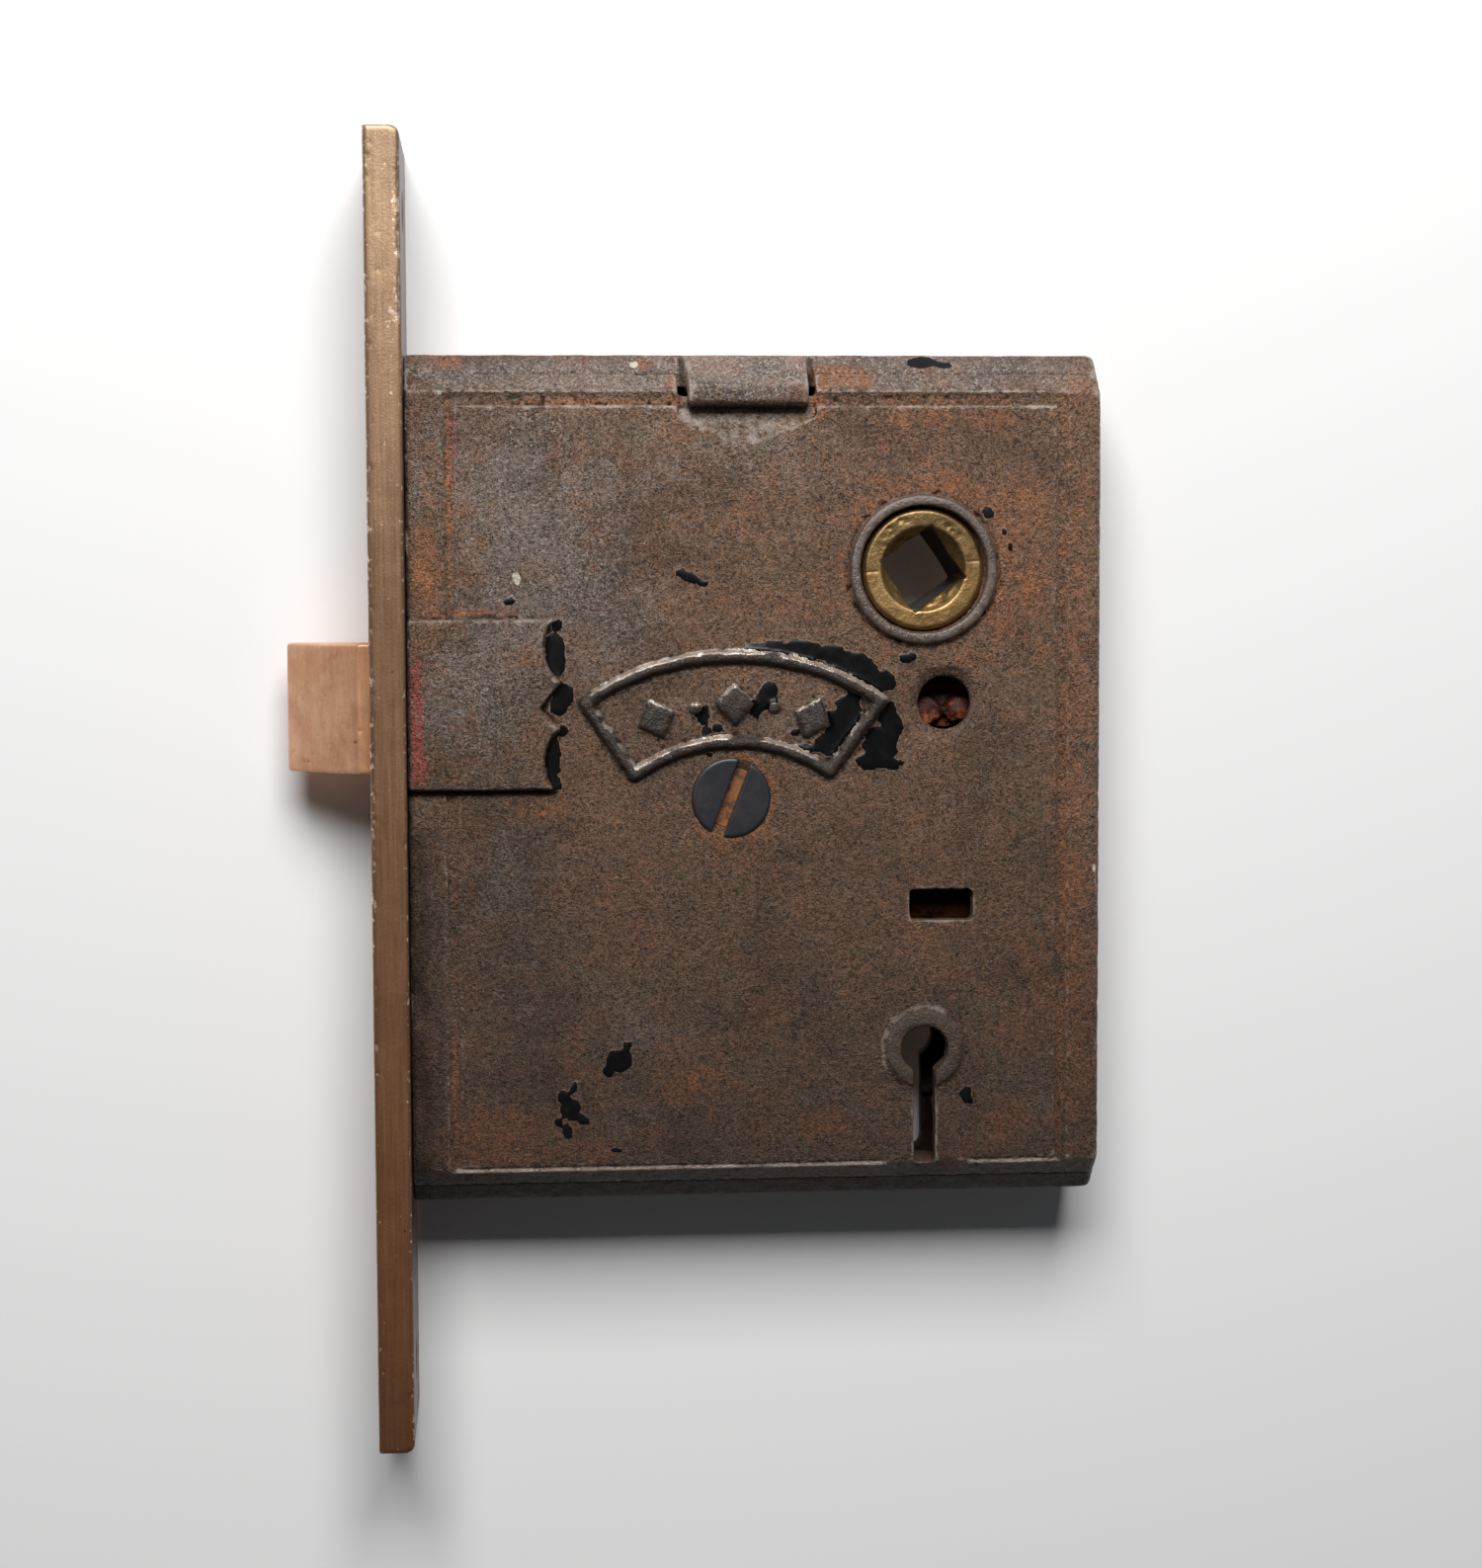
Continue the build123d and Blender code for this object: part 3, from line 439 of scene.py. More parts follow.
def cast_iron(name):
    """Old cast iron: sandy brown and grey, orange rust, black japan left, bright worn edges with
    painted highlights, painted sparkle on grains, painted shade and dirt in hollows and towards the
    bottom.
    """
    rust_brown, rust_orange, rust_red = (0.185, 0.074, 0.032), (0.270, 0.098, 0.030), \
        (0.215, 0.046, 0.034)
    spark_warm, spark_cool = (0.42, 0.33, 0.26), (0.37, 0.345, 0.335)
    rim_dark, rim_light = (0.050, 0.041, 0.035), (0.078, 0.064, 0.054)
    worn_warm, worn_pale = (0.30, 0.225, 0.175), (0.36, 0.31, 0.275)
    hollow, pale_fleck = (0.016, 0.010, 0.007), (0.66, 0.60, 0.50)
    japan_blue, japan_black = (0.0022, 0.0023, 0.0027), (0.0065, 0.0065, 0.0065)

    m = Mat(name)
    z = m.xyz["Z"]
    big = m.noise(per_mm=0.045, detail=3, rough=0.55, seed=1.0)
    mid = m.noise(per_mm=0.17, detail=6, rough=0.65, seed=2.0, dist=0.4)
    small = m.noise(per_mm=0.8, detail=5, rough=0.65, seed=3.0)
    grain = m.noise(per_mm=2.6, detail=3, rough=0.7, seed=4.0)
    fine = m.noise(per_mm=5.2, detail=2, rough=0.6, seed=5.0)
    cell_shade, cell_spark, cell_hue = m.cell_values(per_mm=3.9)
    gloss = m.at("gloss")
    calm = m.at("calm")

    greyness = m.step(0.30, 0.78, m.add(m.mul(m.at("grey"), 0.50), m.swing(big, 0.9), 0.20,
                                        m.swing(mid, 0.9), m.swing(small, 0.8)))
    col = iron_skin(m, greyness)

    # rust, broken up at every scale
    rust = m.add(m.mul(m.at("rust"), 0.85), m.swing(mid, 1.5), m.swing(small, 1.0),
                 m.swing(cell_shade, 0.10))
    rusted = m.step(0.16, 0.60, rust)
    heavy = m.step(0.56, 1.02, m.add(rust, m.swing(grain, 0.8)))
    col = m.mix(m.mul(rusted, 0.70), col, rust_brown)
    col = m.mix(m.mul(heavy, 0.65), col, rust_orange)
    red = m.step(0.30, 0.75, m.add(m.at("red"), m.swing(small, 0.9)))
    col = m.mix(m.mul(red, 0.85), col, rust_red)

    # painted shade: darker towards the bottom and lighter towards the top, as the light falls from
    # above, then painted shade and darker tone set in paint_finish
    col = m.tint(col, m.ramp(-50, 8, 0.53, 1.18, z))
    col = m.tint(col, m.ramp(8, 50, 1.0, 1.24, z))
    col = m.tint(col, m.madd(m.at("dim"), -0.75, 1.0))

    # sandy grain: each grain its own shade, less of it where calm
    shade = m.vary(cell_shade, 0.40)
    for noise, amount in ((grain, 4.3), (fine, 3.6), (small, 0.7)):
        shade = m.vary(noise, amount, shade)
    shade = m.math("MAXIMUM", shade, 0.24)
    shade = m.madd(m.math("SUBTRACT", shade, 1.0), m.inv(m.mul(calm, 0.75)), 1.0)
    col = m.tint(col, shade)

    # painted sparkle: grains painted bright as if catching the light, fewer on rust, fainter
    # towards the bottom
    sand = m.noise(per_mm=1.9, detail=4, rough=0.75, seed=15.0)
    spark = m.math("MAXIMUM",
                   m.mul(m.step(0.53, 0.61, m.add(m.mul(sand, 0.6), m.mul(fine, 0.4))), 0.75),
                   m.step(0.80, 0.95, m.add(m.mul(cell_spark, 0.70), m.mul(sand, 0.50))))
    spark = m.mul(spark, m.madd(greyness, 0.52, 0.48))
    spark = m.mul(spark, m.inv(m.mul(rusted, 0.55)))
    spark = m.mul(spark, m.inv(calm))
    spark_col = m.mix(m.step(0.3, 0.7, cell_hue), spark_warm, spark_cool)
    col = m.mix(m.mul(spark, m.madd(greyness, 0.40, 0.60)), col,
                m.tint(spark_col, m.ramp(-50, 50, 0.40, 1.15, z)))

    # smooth dark rims, bright worn edges with painted highlights, darker low down and brighter on
    # painted glints, then painted shade and dirt in hollows
    rim_col = m.mix(m.step(0.42, 0.60, small), rim_dark, rim_light)
    rim_col = m.tint(rim_col, m.mul(m.vary(grain, 1.6), m.madd(m.at("dim"), -1.0, 1.0)))
    col = m.mix(m.mul(gloss, 0.85), col, rim_col)
    worn = m.step(0.36, 0.92, m.add(m.at("wear"), m.swing(small, 1.2), m.swing(grain, 0.9)))
    worn_col = m.mix(m.step(0.42, 0.60, small), worn_warm, worn_pale)
    worn_col = m.tint(worn_col, m.add(m.ramp(-50, 50, 0.62, 1.05, z), m.mul(m.at("glint"), 0.8)))
    col = m.mix(m.mul(worn, 0.80), col, worn_col)
    # painted shade and dirt in hollows: a near-black brown
    grime = m.step(0.18, 0.85, m.add(m.at("cav"), m.swing(small, 0.5)))
    col = m.mix(m.mul(grime, 0.90), col, hollow)

    # black japan with a ragged edge, then pale flecks
    ragged = m.noise(per_mm=2.2, detail=4, rough=0.65, seed=7.0)
    japan = m.step(-0.02, 0.03, m.add(m.at("jap"), m.swing(ragged, 0.75)))
    cloud = m.noise(per_mm=0.6, detail=3, rough=0.5, seed=9.0)
    col = m.mix(japan, col, m.mix(m.step(0.55, 0.8, cloud), japan_blue, japan_black))
    col = m.mix(m.step(0.4, 0.6, m.at("fleck")), col, pale_fleck)

    rough = m.weigh(m.vary(small, 0.20, 0.50),
                    (rusted, 0.20), (gloss, -0.17), (worn, -0.12), (japan, -0.12))
    metal = m.madd(worn, 0.30, m.mul(m.inv(rusted), 0.15))
    metal = m.math("MAXIMUM", metal, m.mul(spark, 0.6))
    metal = m.mul(metal, m.inv(japan))
    specular = m.weigh(0.50, (grime, -0.42), (japan, -0.32), (gloss, 0.30),
                       (m.mul(gloss, m.at("dim")), -0.75))
    height = m.add(m.mul(grain, 1.0), m.mul(fine, 0.6), m.mul(cell_shade, 0.10))
    bumpy = m.mul(m.inv(m.mul(japan, 0.85)), m.inv(m.mul(worn, 0.4)), m.inv(calm))
    normal = m.bump(height, dist=0.00055, strength=m.mul(bumpy, 1.0))
    normal = m.bump(small, dist=0.00030, strength=m.mul(bumpy, 0.4), normal=normal)
    m.set(Base_Color=col, Roughness=rough, Metallic=metal, Normal=normal,
          Specular_IOR_Level=specular)
    return m.mat


def bronze_bar(name):
    """Face plate: tarnished bronze with a painted reflection, lighter at the top and darker low
    down, drawn lengthwise, coppery where nicked.
    """
    low_col, high_col = (0.235, 0.104, 0.046), (0.41, 0.270, 0.165)
    bare_pale, bare_copper = (0.95, 0.76, 0.62), (0.84, 0.56, 0.42)
    pit_col, purple, purple_dark = (0.035, 0.016, 0.010), (0.060, 0.032, 0.030), \
        (0.035, 0.022, 0.022)
    m = Mat(name)
    z = m.xyz["Z"]
    streak = m.noise(per_mm=1.0, detail=4, rough=0.6, seed=1.0, stretch=(2.6, 2.6, 0.07))
    streak_fine = m.noise(per_mm=1.0, detail=3, rough=0.6, seed=2.0, stretch=(6.5, 6.5, 0.35))
    blotch = m.noise(per_mm=0.10, detail=4, rough=0.6, seed=3.0)
    spots = m.noise(per_mm=0.9, detail=4, rough=0.65, seed=4.0)
    fine = m.noise(per_mm=3.5, detail=3, rough=0.6, seed=5.0)

    # painted reflection along the plate: lighter towards the top, darker low down and at both ends
    up = m.ramp(-86, 86, 0.0, 1.0, z)
    light = m.math("POWER", m.math("MAXIMUM", up, 0.0), 1.6)
    col = m.mix(light, low_col, high_col)
    col = m.tint(col, m.mul(m.ramp(-60, 30, 1.21, 0.88, z), m.ramp(-84, -66, 0.76, 1.0, z),
                            m.ramp(77, 85, 1.0, 0.85, z)))
    col = m.mix(m.mul(m.step(0.45, 0.70, blotch), 0.35), col, m.tint(col, 0.62))
    col = m.tint(col, m.madd(m.step(33.0, 36.0, m.vary(spots, 12.0, z)), 0.12, 0.92))
    for noise, amount in ((streak, 0.55), (streak_fine, 0.5), (fine, 0.45)):
        col = m.tint(col, m.vary(noise, amount))

    # bare metal in nicks and chips, dark pits, purple inner side
    chip_noise = m.noise(per_mm=1.35, detail=5, rough=0.72, seed=6.0, stretch=(1.0, 1.0, 0.8))
    chips = m.step(0.875, 0.897, m.add(m.at("chip"), m.mul(chip_noise, 1.0)))
    rubbed = m.step(0.40, 0.80, m.add(m.at("bare"), m.swing(spots, 1.1)))
    bare = m.math("MAXIMUM", m.mul(rubbed, 0.75), chips)
    col = m.mix(m.mul(bare, 0.9), col, m.mix(m.step(0.45, 0.6, fine), bare_pale, bare_copper))
    col = m.mix(m.mul(m.step(0.25, 0.8, m.at("cav")), 0.85), col, pit_col)
    inner = m.at("inner")
    col = m.mix(m.mul(inner, 0.92), col, m.mix(m.step(0.45, 0.6, spots), purple, purple_dark))
    height = m.add(m.mul(streak_fine, 0.6), m.mul(fine, 0.6))
    m.set(Base_Color=col, Roughness=m.madd(bare, -0.10, m.vary(streak, 0.30, 0.42)),
          Metallic=m.madd(inner, -0.6, 0.68), Normal=m.bump(height, dist=0.00010, strength=0.45))
    return m.mat


def bronze_latch(name):
    """Pinkish bronze rubbed clean, brushed up and down, with small pits."""
    pink, pale = (0.78, 0.41, 0.235), (0.90, 0.53, 0.33)
    cloud_col, root_col = (0.66, 0.31, 0.16), (0.68, 0.34, 0.16)
    smudge_col, pit_col = (0.50, 0.235, 0.150), (0.10, 0.045, 0.025)
    m = Mat(name)
    brush = m.noise(per_mm=1.0, detail=3, rough=0.6, seed=1.0, stretch=(5.5, 5.5, 0.25))
    brush_wide = m.noise(per_mm=1.0, detail=4, rough=0.6, seed=2.0, stretch=(1.3, 1.3, 0.10))
    fine = m.noise(per_mm=3.2, detail=3, rough=0.6, seed=3.0)
    blot = m.noise(per_mm=0.16, detail=4, rough=0.6, seed=4.0)
    cloud = m.noise(per_mm=0.45, detail=4, rough=0.6, seed=6.0)
    smudge = m.noise(per_mm=0.22, detail=5, rough=0.68, seed=8.0, dist=0.6)
    col = m.mix(m.step(0.40, 0.66, blot), pink, pale)
    col = m.mix(m.mul(m.step(0.45, 0.62, cloud), 0.3), col, cloud_col)
    near_plate = m.step(-3.2, -0.6, m.xyz["X"])
    col = m.mix(m.mul(near_plate, 0.6), col, root_col)
    col = m.mix(m.mul(m.step(0.50, 0.66, smudge), 0.42), col, smudge_col)
    shade = m.vary(brush, 0.22, m.vary(brush_wide, 0.25, 0.88))
    col = m.tint(col, m.vary(fine, 0.30, shade))
    col = m.mix(m.mul(m.step(0.2, 0.8, m.at("cav")), 0.7), col, pit_col)
    height = m.add(m.mul(brush, 0.8), m.mul(fine, 0.5))
    m.set(Base_Color=col, Roughness=m.vary(brush_wide, 0.25, 0.44), Metallic=0.5,
          Normal=m.bump(height, dist=0.00008, strength=0.4))
    return m.mat


def brass(name):
    """Hub: yellow turned brass, rubbed bright on its rims, with painted shade inside the square."""
    deep_yellow, yellow = (0.36, 0.218, 0.084), (0.53, 0.35, 0.150)
    spot_col, rubbed, inner_col = (0.24, 0.135, 0.050), (0.86, 0.64, 0.37), (0.016, 0.011, 0.008)
    tarnish_light, tarnish_dark = (0.20, 0.135, 0.060), (0.125, 0.082, 0.036)
    m = Mat(name)
    blot = m.noise(per_mm=0.35, detail=4, rough=0.6, seed=1.0)
    fine = m.noise(per_mm=3.0, detail=3, rough=0.6, seed=2.0)
    spot = m.noise(per_mm=1.1, detail=4, rough=0.65, seed=3.0)
    col = m.mix(m.step(0.35, 0.70, blot), deep_yellow, yellow)
    col = m.mix(m.mul(m.step(0.56, 0.70, spot), 0.45), col, spot_col)
    col = m.tint(col, m.vary(fine, 0.45, 0.82))
    tarnish = m.step(27.5, 34.0, m.vary(spot, 6.0, m.xyz["Z"]))     # the upper part
    col = m.mix(m.mul(tarnish, 0.82), col,
                m.mix(m.step(0.46, 0.58, spot), tarnish_light, tarnish_dark))
    worn = m.step(0.30, 0.85, m.add(m.at("wear"), m.swing(spot, 0.8)))
    col = m.mix(m.mul(worn, 0.75), col, rubbed)
    # painted shade: near black inside the square hole, and partly deeper in the hub
    inner = m.at("inner")
    col = m.mix(m.mul(inner, 0.97), col, inner_col)
    m.set(Base_Color=col, Roughness=m.madd(inner, 0.25, m.vary(blot, 0.30, 0.44)),
          Metallic=m.madd(inner, -0.95, 0.95),
          Normal=m.bump(m.add(fine, m.mul(spot, 1.5)), dist=0.00009, strength=0.5))
    return m.mat


def blued_steel(name, painted):
    """Blue-black oxidised steel with hairlines; painted pieces place their own rust and wear."""
    blue, violet, scratch = (0.033, 0.036, 0.043), (0.052, 0.048, 0.052), (0.12, 0.12, 0.12)
    orange, dark_rust, worn_col = (0.215, 0.082, 0.024), (0.070, 0.028, 0.014), (0.16, 0.15, 0.14)
    m = Mat(name)
    blot = m.noise(per_mm=0.5, detail=4, rough=0.6, seed=1.0)
    fine = m.noise(per_mm=4.0, detail=3, rough=0.6, seed=2.0)
    spot = m.noise(per_mm=1.3, detail=4, rough=0.65, seed=4.0)
    hair = m.noise(per_mm=1.0, detail=2, rough=0.5, seed=3.0, stretch=(0.5, 0.5, 7.0))
    bloom = m.noise(per_mm=0.8, detail=4, rough=0.6, seed=5.0)
    col = m.mix(m.step(0.35, 0.7, blot), blue, violet)
    col = m.tint(col, m.vary(fine, 0.5))
    col = m.mix(m.mul(m.step(0.67, 0.72, hair), 0.30), col, scratch)
    rust = m.at("rust") if painted else 0.25
    rusted = m.step(0.35, 0.65, m.add(rust, m.swing(spot, 0.5)))
    rust_col = m.mix(m.step(0.42, 0.60, bloom), orange, dark_rust)
    col = m.mix(rusted, col, m.tint(rust_col, m.vary(fine, 0.8)))
    worn = m.step(0.3, 0.8, m.at("wear")) if painted else 0.0
    col = m.mix(m.mul(worn, 0.5), col, worn_col)
    m.set(Base_Color=col, Roughness=m.madd(rusted, 0.38, 0.40),
          Metallic=m.madd(rusted, -0.5, 0.55),
          Normal=m.bump(m.add(fine, spot), dist=0.00008, strength=m.madd(rusted, 0.6, 0.15)))
    return m.mat


def inner_iron(name, brightness=1.0):
    """Iron inside the case: dark, oily, dark red rust with orange bloom, more of it low down; a
    brightness below 1 darkens it all as painted shade.
    """
    black, dark_red, orange = (0.014, 0.005, 0.004), (0.060, 0.011, 0.007), (0.26, 0.072, 0.022)
    m = Mat(name)
    mid = m.noise(per_mm=0.35, detail=5, rough=0.65, seed=1.0)
    small = m.noise(per_mm=1.3, detail=4, rough=0.6, seed=2.0)
    fine = m.noise(per_mm=4.0, detail=3, rough=0.6, seed=3.0)
    low = m.step(11.6, 8.8, m.xyz["Z"])
    col = m.mix(m.step(0.38, 0.62, mid), black, dark_red)
    bloom = m.step(0.55, 0.72, m.add(m.mul(small, 0.6), m.mul(mid, 0.4), m.mul(low, 0.16)))
    col = m.mix(bloom, col, orange)
    col = m.tint(col, m.vary(fine, 0.9 * brightness, brightness))
    m.set(Base_Color=col, Roughness=m.madd(small, 0.35, 0.34), Metallic=0.0,
          Specular_IOR_Level=0.28 * brightness,
          Normal=m.bump(m.add(small, m.mul(fine, 0.5)), dist=0.0003, strength=0.7))
    return m.mat


def spring_steel(name):
    """Dull grey steel with brown patches."""
    grey, brown = (0.10, 0.095, 0.090), (0.14, 0.060, 0.028)
    m = Mat(name)
    mid = m.noise(per_mm=0.6, detail=5, rough=0.65, seed=1.0)
    fine = m.noise(per_mm=4.0, detail=3, rough=0.6, seed=3.0)
    col = m.tint(m.mix(m.step(0.50, 0.66, mid), grey, brown), m.vary(fine, 0.8))
    m.set(Base_Color=col, Roughness=m.madd(mid, 0.3, 0.3), Metallic=0.7,
          Normal=m.bump(fine, dist=0.0001, strength=0.4))
    return m.mat


# ---------------------------------------------------------------- finish of cover and case

JAPAN = (  # black patches left on the cover: x, z, half sizes, turn in degrees
    (50.3, 19.3, 1.8, 0.6, 0), (53.2, 19.3, 2.6, 0.95, -3), (57.2, 18.9, 3.0, 1.2, -12),
    (61.2, 17.8, 3.0, 1.4, -24), (64.6, 16.2, 2.6, 1.7, -38), (67.0, 14.8, 1.5, 1.5, 0),
    (67.7, 10.0, 1.5, 2.8, 25), (66.6, 6.6, 2.3, 2.4, 30), (65.2, 4.3, 2.3, 1.2, 0),
    (68.0, 3.9, 1.6, 0.75, 5), (51.2, 12.0, 2.0, 1.2, 20), (52.0, 13.7, 1.3, 1.1, 0),
    (50.2, 10.8, 0.9, 0.8, 0), (62.6, 10.8, 1.9, 2.4, 15), (61.4, 8.1, 2.2, 2.0, 30),
    (59.9, 6.6, 1.8, 1.5, 0), (60.3, 9.9, 1.3, 1.3, 0), (63.0, 12.8, 1.2, 0.9, 0),
    (43.3, 10.4, 1.0, 1.6, -12), (43.5, 8.4, 0.8, 0.7, 0), (45.2, 8.9, 0.7, 0.6, 0),
    (44.0, 5.3, 0.9, 0.35, 0), (57.6, 5.9, 1.8, 0.5, -14), (55.3, 8.0, 0.7, 0.5, 0),
    (23.7, 18.5, 1.8, 3.0, 0), (24.9, 13.4, 1.4, 1.8, 10), (24.3, 11.6, 1.3, 1.3, 0),
    (23.3, 5.0, 1.35, 3.4, 0), (24.6, 8.6, 1.0, 0.9, 0), (24.3, 22.4, 0.9, 1.0, -15),
    (24.0, 1.6, 0.8, 1.2, 0), (41.9, 28.4, 1.3, 0.75, -20), (40.5, 29.1, 0.7, 0.45, 0),
    (43.3, 27.7, 0.7, 0.5, 0), (42.6, 29.3, 0.5, 0.35, 0), (25.6, -41.3, 1.3, 1.7, 0),
    (27.2, -42.7, 1.2, 0.8, -20), (24.7, -39.8, 0.8, 1.3, 20), (25.2, -44.4, 0.8, 1.4, 0),
    (26.0, -38.6, 0.6, 0.9, 0), (23.9, -43.0, 0.7, 0.6, 0), (32.0, -35.1, 1.9, 1.5, 25),
    (30.6, -36.4, 1.0, 0.9, 0), (33.0, -33.6, 0.6, 1.0, 0), (33.6, -33.0, 0.4, 0.5, 0),
    (78.0, -40.3, 0.85, 1.1, 15), (78.5, -41.0, 0.5, 0.4, 0), (70.2, 17.7, 1.0, 0.6, 0),
    (69.5, 17.9, 0.5, 0.5, 0), (71.1, 17.9, 0.4, 0.35, 0), (80.9, 36.7, 0.66, 0.66, 0),
    (83.1, 34.3, 0.6, 0.55, 0), (83.8, 32.3, 0.55, 0.9, 0), (36.1, 33.0, 0.45, 0.4, 0),
    (36.3, 30.5, 0.3, 0.45, 0), (18.2, 25.4, 0.9, 0.5, 10), (29.6, -39.6, 0.4, 0.35, 0),
    (31.6, -46.9, 0.7, 0.4, 0),
)
RUST = (  # x, z, half sizes, turn in degrees, weight
    (41.8, -38.2, 5.0, 2.8, 20, 0.85), (59.7, -43.9, 4.2, 2.1, 10, 0.85),
    (83.4, -43.7, 2.8, 3.4, 0, 0.75), (92.2, -13.5, 2.2, 3.0, 0, 0.95),
    (88.0, -26.0, 2.4, 4.0, 0, 0.5), (10.5, 39, 0.8, 13, 0, 0.75), (10.5, -41, 0.8, 9, 0, 0.85),
    (10.6, -14, 0.6, 18, 0, 0.35), (92.8, 0, 3.4, 62, 0, 0.55), (90.6, 10, 0.7, 45, 0, 0.5),
    (90.4, -38, 0.8, 14, 0, 0.7), (93, -12, 2.6, 5, 0, 0.85), (86, 30, 5, 16, 0, 0.55),
    (72.3, 41, 9, 1.4, 0, 0.5), (63.0, 37.5, 2.6, 4.5, -38, 0.35), (81.5, 38.5, 4, 4.2, 0, 0.6),
    (83.5, 24, 3.5, 6, 0, 0.55), (72.3, 17.8, 8, 2.0, 0, 0.35), (7.3, 30, 2.4, 6.5, 0, 0.75),
    (8.2, 40, 1.6, 8, 0, 0.45), (15, -45, 8, 5, 10, 0.85), (22, -47, 12, 2.6, 0, 0.6),
    (6.7, -36, 1.8, 12, 0, 0.4), (9, -46, 3.0, 4.5, 0, 0.7), (44, -36, 16, 7, 8, 0.35),
    (26, -38, 9, 9, 0, 0.3), (48, -6.5, 6, 4, 0, 0.55), (22, -1.5, 6, 2.2, 0, 0.6),
    (30, -6, 8, 4, 0, 0.3), (12, 24.1, 8, 0.7, 0, 0.6), (64, 47, 10, 6, 0, 0.30),
    (76, 49.3, 16, 1.6, 0, 0.4), (28, 51.2, 14, 0.5, 0, 0.7), (46, 51.0, 5, 0.5, 0, 0.6),
    (74, 51.4, 17, 0.7, 0, 0.45), (62, 54.6, 5, 1.6, 0, 0.85), (58.8, 52, 1.4, 4, 0, 0.9),
    (39.6, 52.5, 1.2, 4, 0, 0.8), (35.6, 56.2, 2.2, 0.6, 0, 0.9), (80, -45, 12, 5, 0, 0.4),
    (84, -24, 9, 12, 0, 0.35), (54, 32, 10, 14, 0, 0.22), (60, -28, 12, 10, 0, 0.22),
    (94.5, 55, 4, 2, 0, 0.3), (10, 56.5, 3, 1.2, 0, 0.7), (72, -17, 9, 4.5, 0, 0.3),
    (72.6, -50.2, 5, 1.2, 0, 0.7), (69, -20, 4, 1.5, 0, 0.2), (6.2, 3.6, 1.3, 2.6, 0, 0.95),
)
GREY = (  # x, z, half sizes, weight
    (64.5, -42.3, 3.4, 2.4, 0.55), (33.5, -42.3, 7.5, 3.6, 0.60), (22, 36, 14, 18, 1.0),
    (40, 44, 22, 8, 0.55), (7.2, 40, 3.2, 12, 0.5), (30, 21, 12, 8, 0.6), (44, 33, 12, 12, 0.45),
    (94.2, 12, 2.0, 40, 0.55), (20, -14, 12, 12, 0.55), (15, 12, 9, 9, 0.75),
    (34, -30, 14, 10, 0.45), (86, -44, 6, 6, 0.4), (50, 55.6, 48, 2.2, 1.5),
    (30, 54.5, 26, 2.4, 1.2), (78, 54.5, 18, 2.0, 1.0), (48, 54, 8, 3, 0.8), (50, 10, 16, 6, 0.4),
    (86.5, -43, 3.6, 5, 0.6), (80, 5, 7, 6, 0.3), (50, -50.6, 44, 1.4, 0.7),
    (23, -50.8, 20, 1.4, 0.6),
)


def strongest(x, z, table):
    """The strongest soft ellipse of a table at each point."""
    return np.maximum.reduce([weight * soft(x, z, *ellipse) for *ellipse, weight in table])


def frame_area(x, y, z):
    """The raised frame round the middle of the cover."""
    return sstep(-7.98, -8.15, y) * between(x, 26, 69) * between(z, 0.0, 20.5)


def paint_finish(d):
    """Attributes shared by cover and case, from position alone."""
    x, y, z = d.v.T
    front = sstep(2.0, -1.0, y)
    rust = np.maximum(strongest(x, z, RUST), 0)
    rust = rust * front + (1 - front) * 0.55 * fbm(d.v, 0.06, 3, 40)
    hub_ring = band(radius(x, z, HUB), 10.9, 0.9)
    rust = np.maximum(rust, front * 0.5 * hub_ring * sstep(-12, 4, z - HUB[1]))
    screw_ring = band(radius(x, z, SCREW), 5.6, 0.7)
    lower_right = sstep(-8, 1.0, x - SCREW[0] - (z - SCREW[1]) * 0.4)
    rust = np.maximum(rust, front * 0.95 * screw_ring * lower_right)
    grey = np.maximum(strongest(x, z, GREY), 0)
    grey = grey * front + (1 - front) * 0.5 * fbm(d.v, 0.05, 3, 50)
    red = np.maximum.reduce([
        0.85 * soft(x, z, 6.0, 10.0, 1.1, 11.0),
        0.8 * soft(x, z, 6.2, 4.0, 1.4, 3.4),
        0.5 * soft(x, z, 11.2, 47.0, 1.2, 4.0)])
    # painted shade beside the plate, along the lower-left margin and at the bottom edges; darker
    # tone on the frame, the key collar, near the top edge and in two patches
    dim = np.maximum.reduce([
        0.45 * sstep(10.4, 8.6, x) * sstep(0.5, -6.0, z),               # lower left margin
        0.30 * sstep(6.2, 5.0, x) * (z < 60),
        0.30 * soft(x, z, 17.0, -14.0, 9.0, 14.0),
        0.60 * sstep(-50.1, -50.9, z),                                  # bottom edge
        0.75 * sstep(-51.2, -52.0, z),
        0.25 * soft(x, z, 45.0, 51.0, 8.0, 3.0),
        0.62 * frame_area(x, y, z),
        0.28 * sstep(53.5, 54.5, z) * (z < 60) * (np.abs(x - 49.3) > 8.4),  # top edge
        0.50 * sstep(5.6, 5.2, radius(x, z, KEY_RING)) * sstep(-8.1, -8.3, y)])
    fleck = np.maximum.reduce([
        ell(x, z, 34.7, 56.2, 0.7, 0.6),
        ell(x, z, 19.1, 28.4, 0.65, 1.1, 12),
        ell(x, z, 95.2, -10.3, 0.35, 0.6)])
    d.paint(rust=rust, grey=grey, red=front * red, dim=dim * front,
            fleck=fleck * 1.6 + 0.25 * (y < 0) - 1.0 * (y > 0))


def japan_field(d):
    """Above 0 inside the japan patches."""
    x, _, z = d.v.T
    field = np.full(d.n, -1.0)
    for cx, cz, rx, rz, turn in JAPAN:
        inside = ell(x, z, cx, cz, rx * 1.05, rz * 1.05, turn) * math.sqrt(rx * rz)
        field = np.maximum(field, np.clip(inside, -2, 0.9))
    return field + (fbm(d.v, 0.9, 3, 60) - 0.5) * 1.2


# ---------------------------------------------------------------- cover


